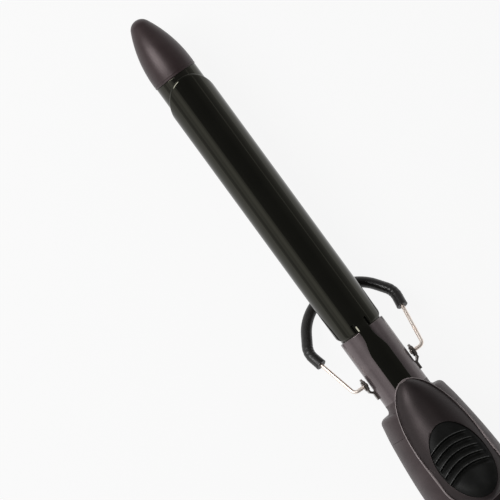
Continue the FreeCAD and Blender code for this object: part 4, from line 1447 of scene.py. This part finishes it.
def make_slider():
    """Switch cap with a flat top rounded down at its edges and four grip ribs, on its stem."""
    front, rear = ends("heat_slider")
    half = half_width("heat_slider")
    low = HANDLE_TOP + 0.35
    top_z = HANDLE_TOP + 2.1
    grip_ribs = (-3, -1, 1, 3)

    def height(station, y):
        along = (station - SLIDER_AT) / ((rear - front) / 2)
        across = y / half
        edge = max(abs(along), abs(across))
        rib = 0.0
        if abs(y) < half - 1.1:
            rib = sum(0.5 * math.exp(-((station - SLIDER_AT - d) / 0.38) ** 2) for d in grip_ribs)
            rib *= smooth_step((half - 1.1 - abs(y)) / 0.7)
        rounding = 0.7 * (1 - math.sqrt(max(0.0, 1 - max(0.0, (edge - 0.86) / 0.14) ** 2)))
        return top_z - rounding + rib

    rows, columns = steps(front, rear, 96), steps(-half, half, 60)
    top = [[place(s, y, height(s, y)) for y in columns] for s in rows]
    bottom = [[place(s, y, low) for y in columns] for s in rows]
    form = Form().sheet(top, bottom)
    form.block(SLIDER_AT - 2.4, SLIDER_AT + 2.4, -1.5, 1.5, heights("heat_slider")[0], low + 0.1)
    piece = new_object("heat_slider_cap", form)
    finish_piece(piece, "switch", "handle_plastic", ["heat_slider"], "lever_plastic")


def make_lens():
    low, high = heights("indicator_lens")
    r = half_width("indicator_lens")
    crown = 0.45
    profile = [(low, 0), (low, r), (high - crown, r)]
    profile += [(high - crown + crown * math.sin(t), r * math.cos(t)) for t in steps(0.2, math.pi / 2, 8)]
    rings = turned(profile, place(LENS_AT, 0, 0), UP, 48)
    piece = new_object("power_lens", Form().skin(rings, caps=False))
    finish_piece(piece, "handle", "lens_red", ["indicator_lens"])


# ---- floor, light and camera ----------------------------------------------------------------------
FLOOR_COLOUR = 0.06
FLOOR_GLOW = 0.905
# position on the ramp, from the horizon to overhead, and the grey there
TENT = ((0.0, 0.55), (0.3, 0.33), (0.6, 0.22), (0.95, 0.10))
LEFT_LIGHT = 0.4
CORE_LIGHT = 0.3
STRIP_LIGHT = 0.5
KEY_FROM = (0.45, 0.52, 0.73)
KEY_LIGHT = 14.0


def make_floor():
    """Plain pale floor, lit from within like a light table."""
    edge = 12.0
    drop = -0.0003
    mesh = bpy.data.meshes.new("floor")
    mesh.from_pydata([(-edge, -edge, drop), (edge, -edge, drop), (edge, edge, drop), (-edge, edge, drop)],
                     [], [(0, 1, 2, 3)])
    floor = bpy.data.objects.new("floor", mesh)
    bpy.context.scene.collection.objects.link(floor)
    material = bpy.data.materials.new("floor")
    material.use_nodes = True
    shader = material.node_tree.nodes["Principled BSDF"]
    shader.inputs["Base Color"].default_value = (*(FLOOR_COLOUR,) * 3, 1)
    shader.inputs["Roughness"].default_value = 1.0
    shader.inputs["Specular IOR Level"].default_value = 0.0
    shader.inputs["Emission Color"].default_value = (1, 1, 1, 1)
    shader.inputs["Emission Strength"].default_value = FLOOR_GLOW
    mesh.materials.append(material)


def make_world():
    """Light tent: soft light from the sides, paler towards the horizon and dark overhead."""
    world = bpy.data.worlds.new("light_tent")
    bpy.context.scene.world = world
    world.use_nodes = True
    nodes, links = world.node_tree.nodes, world.node_tree.links
    parts = nodes.new("ShaderNodeSeparateXYZ")
    ramp = nodes.new("ShaderNodeValToRGB")
    links.new(nodes.new("ShaderNodeTexCoord").outputs["Generated"], parts.inputs[0])
    links.new(parts.outputs["Z"], ramp.inputs["Fac"])
    links.new(ramp.outputs["Color"], nodes["Background"].inputs["Color"])
    stops = ramp.color_ramp.elements
    while len(stops) < len(TENT):
        stops.new(0.5)
    for stop, (position, grey) in zip(stops, TENT):
        stop.position = position
        stop.color = (grey, grey, grey, 1)


def softbox(name, direction, distance, width, length, radiance):
    """Rectangular light aimed at the iron's middle; length runs along the iron."""
    light = bpy.data.lights.new(name, "AREA")
    light.shape = "RECTANGLE"
    light.size = length
    light.size_y = width
    light.energy = radiance * math.pi * width * length
    lamp = bpy.data.objects.new(name, light)
    target = Vector((0, 0, AXIS_Z))
    back = Vector(direction).normalized()
    up = back.cross(Vector((1, 0, 0))).normalized()
    side = up.cross(back)
    turn = Matrix((side, up, back)).transposed().to_4x4()
    lamp.matrix_world = Matrix.Translation(target + back * distance) @ turn
    lamp.visible_camera = False
    bpy.context.scene.collection.objects.link(lamp)


def make_lights():
    def aside(degrees, side):
        turn = math.radians(degrees)
        return (0, side * math.sin(turn), math.cos(turn))

    # name, direction, distance, width and length in metres, and radiance
    for light in (
        ("left_softbox", aside(54, 1), 0.8, 0.58, 1.6, LEFT_LIGHT),
        ("left_core", aside(51, 1), 0.79, 0.2, 1.6, CORE_LIGHT),
        ("right_strip", aside(56, -1), 0.8, 0.045, 1.2, STRIP_LIGHT),
        ("key", KEY_FROM, 1.0, 0.62, 0.22, KEY_LIGHT),
    ):
        softbox(*light)


CAMERA_TILT = math.radians(6.0)
CAMERA_DISTANCE = 1.8
SENSOR = 36.0
VIEW_WIDTH = 0.2043
VIEW_STATION = 103.2
VIEW_ACROSS = 17.3
# the tip points this far up for that far to the left
IRON_TURN = math.atan2(0.8077, 0.5898)


def make_camera():
    """Long lens above the front half, tilted a little to the left; the tip points up and to the left."""
    scene = bpy.context.scene
    data = bpy.data.cameras.new("camera")
    data.sensor_width = SENSOR
    data.lens = SENSOR * CAMERA_DISTANCE / VIEW_WIDTH
    data.clip_end = 50
    along = Vector((1, 0, 0))
    across = Vector((0, math.cos(CAMERA_TILT), -math.sin(CAMERA_TILT)))
    back = along.cross(across)
    right = -along * math.cos(IRON_TURN) - across * math.sin(IRON_TURN)
    up = along * math.sin(IRON_TURN) - across * math.cos(IRON_TURN)
    target = place(VIEW_STATION, 0, 0) + across * VIEW_ACROSS * MM
    camera = bpy.data.objects.new("camera", data)
    camera.matrix_world = (Matrix.Translation(target + back * CAMERA_DISTANCE)
                           @ Matrix((right, up, back)).transposed().to_4x4())
    scene.collection.objects.link(camera)
    scene.camera = camera
    scene.view_settings.view_transform = "Standard"


dress_cad_nodes()
make_tip()
make_barrel()
make_neck()
make_stand_wire()
make_stand_sleeve()
make_eyelets()
make_clip()
make_lever()
make_pad()
make_spring()
make_guard()
make_upper_shell()
make_lower_shell()
make_screws()
make_end_cap()
make_swivel()
make_slider()
make_lens()
make_floor()
make_world()
make_lights()
make_camera()
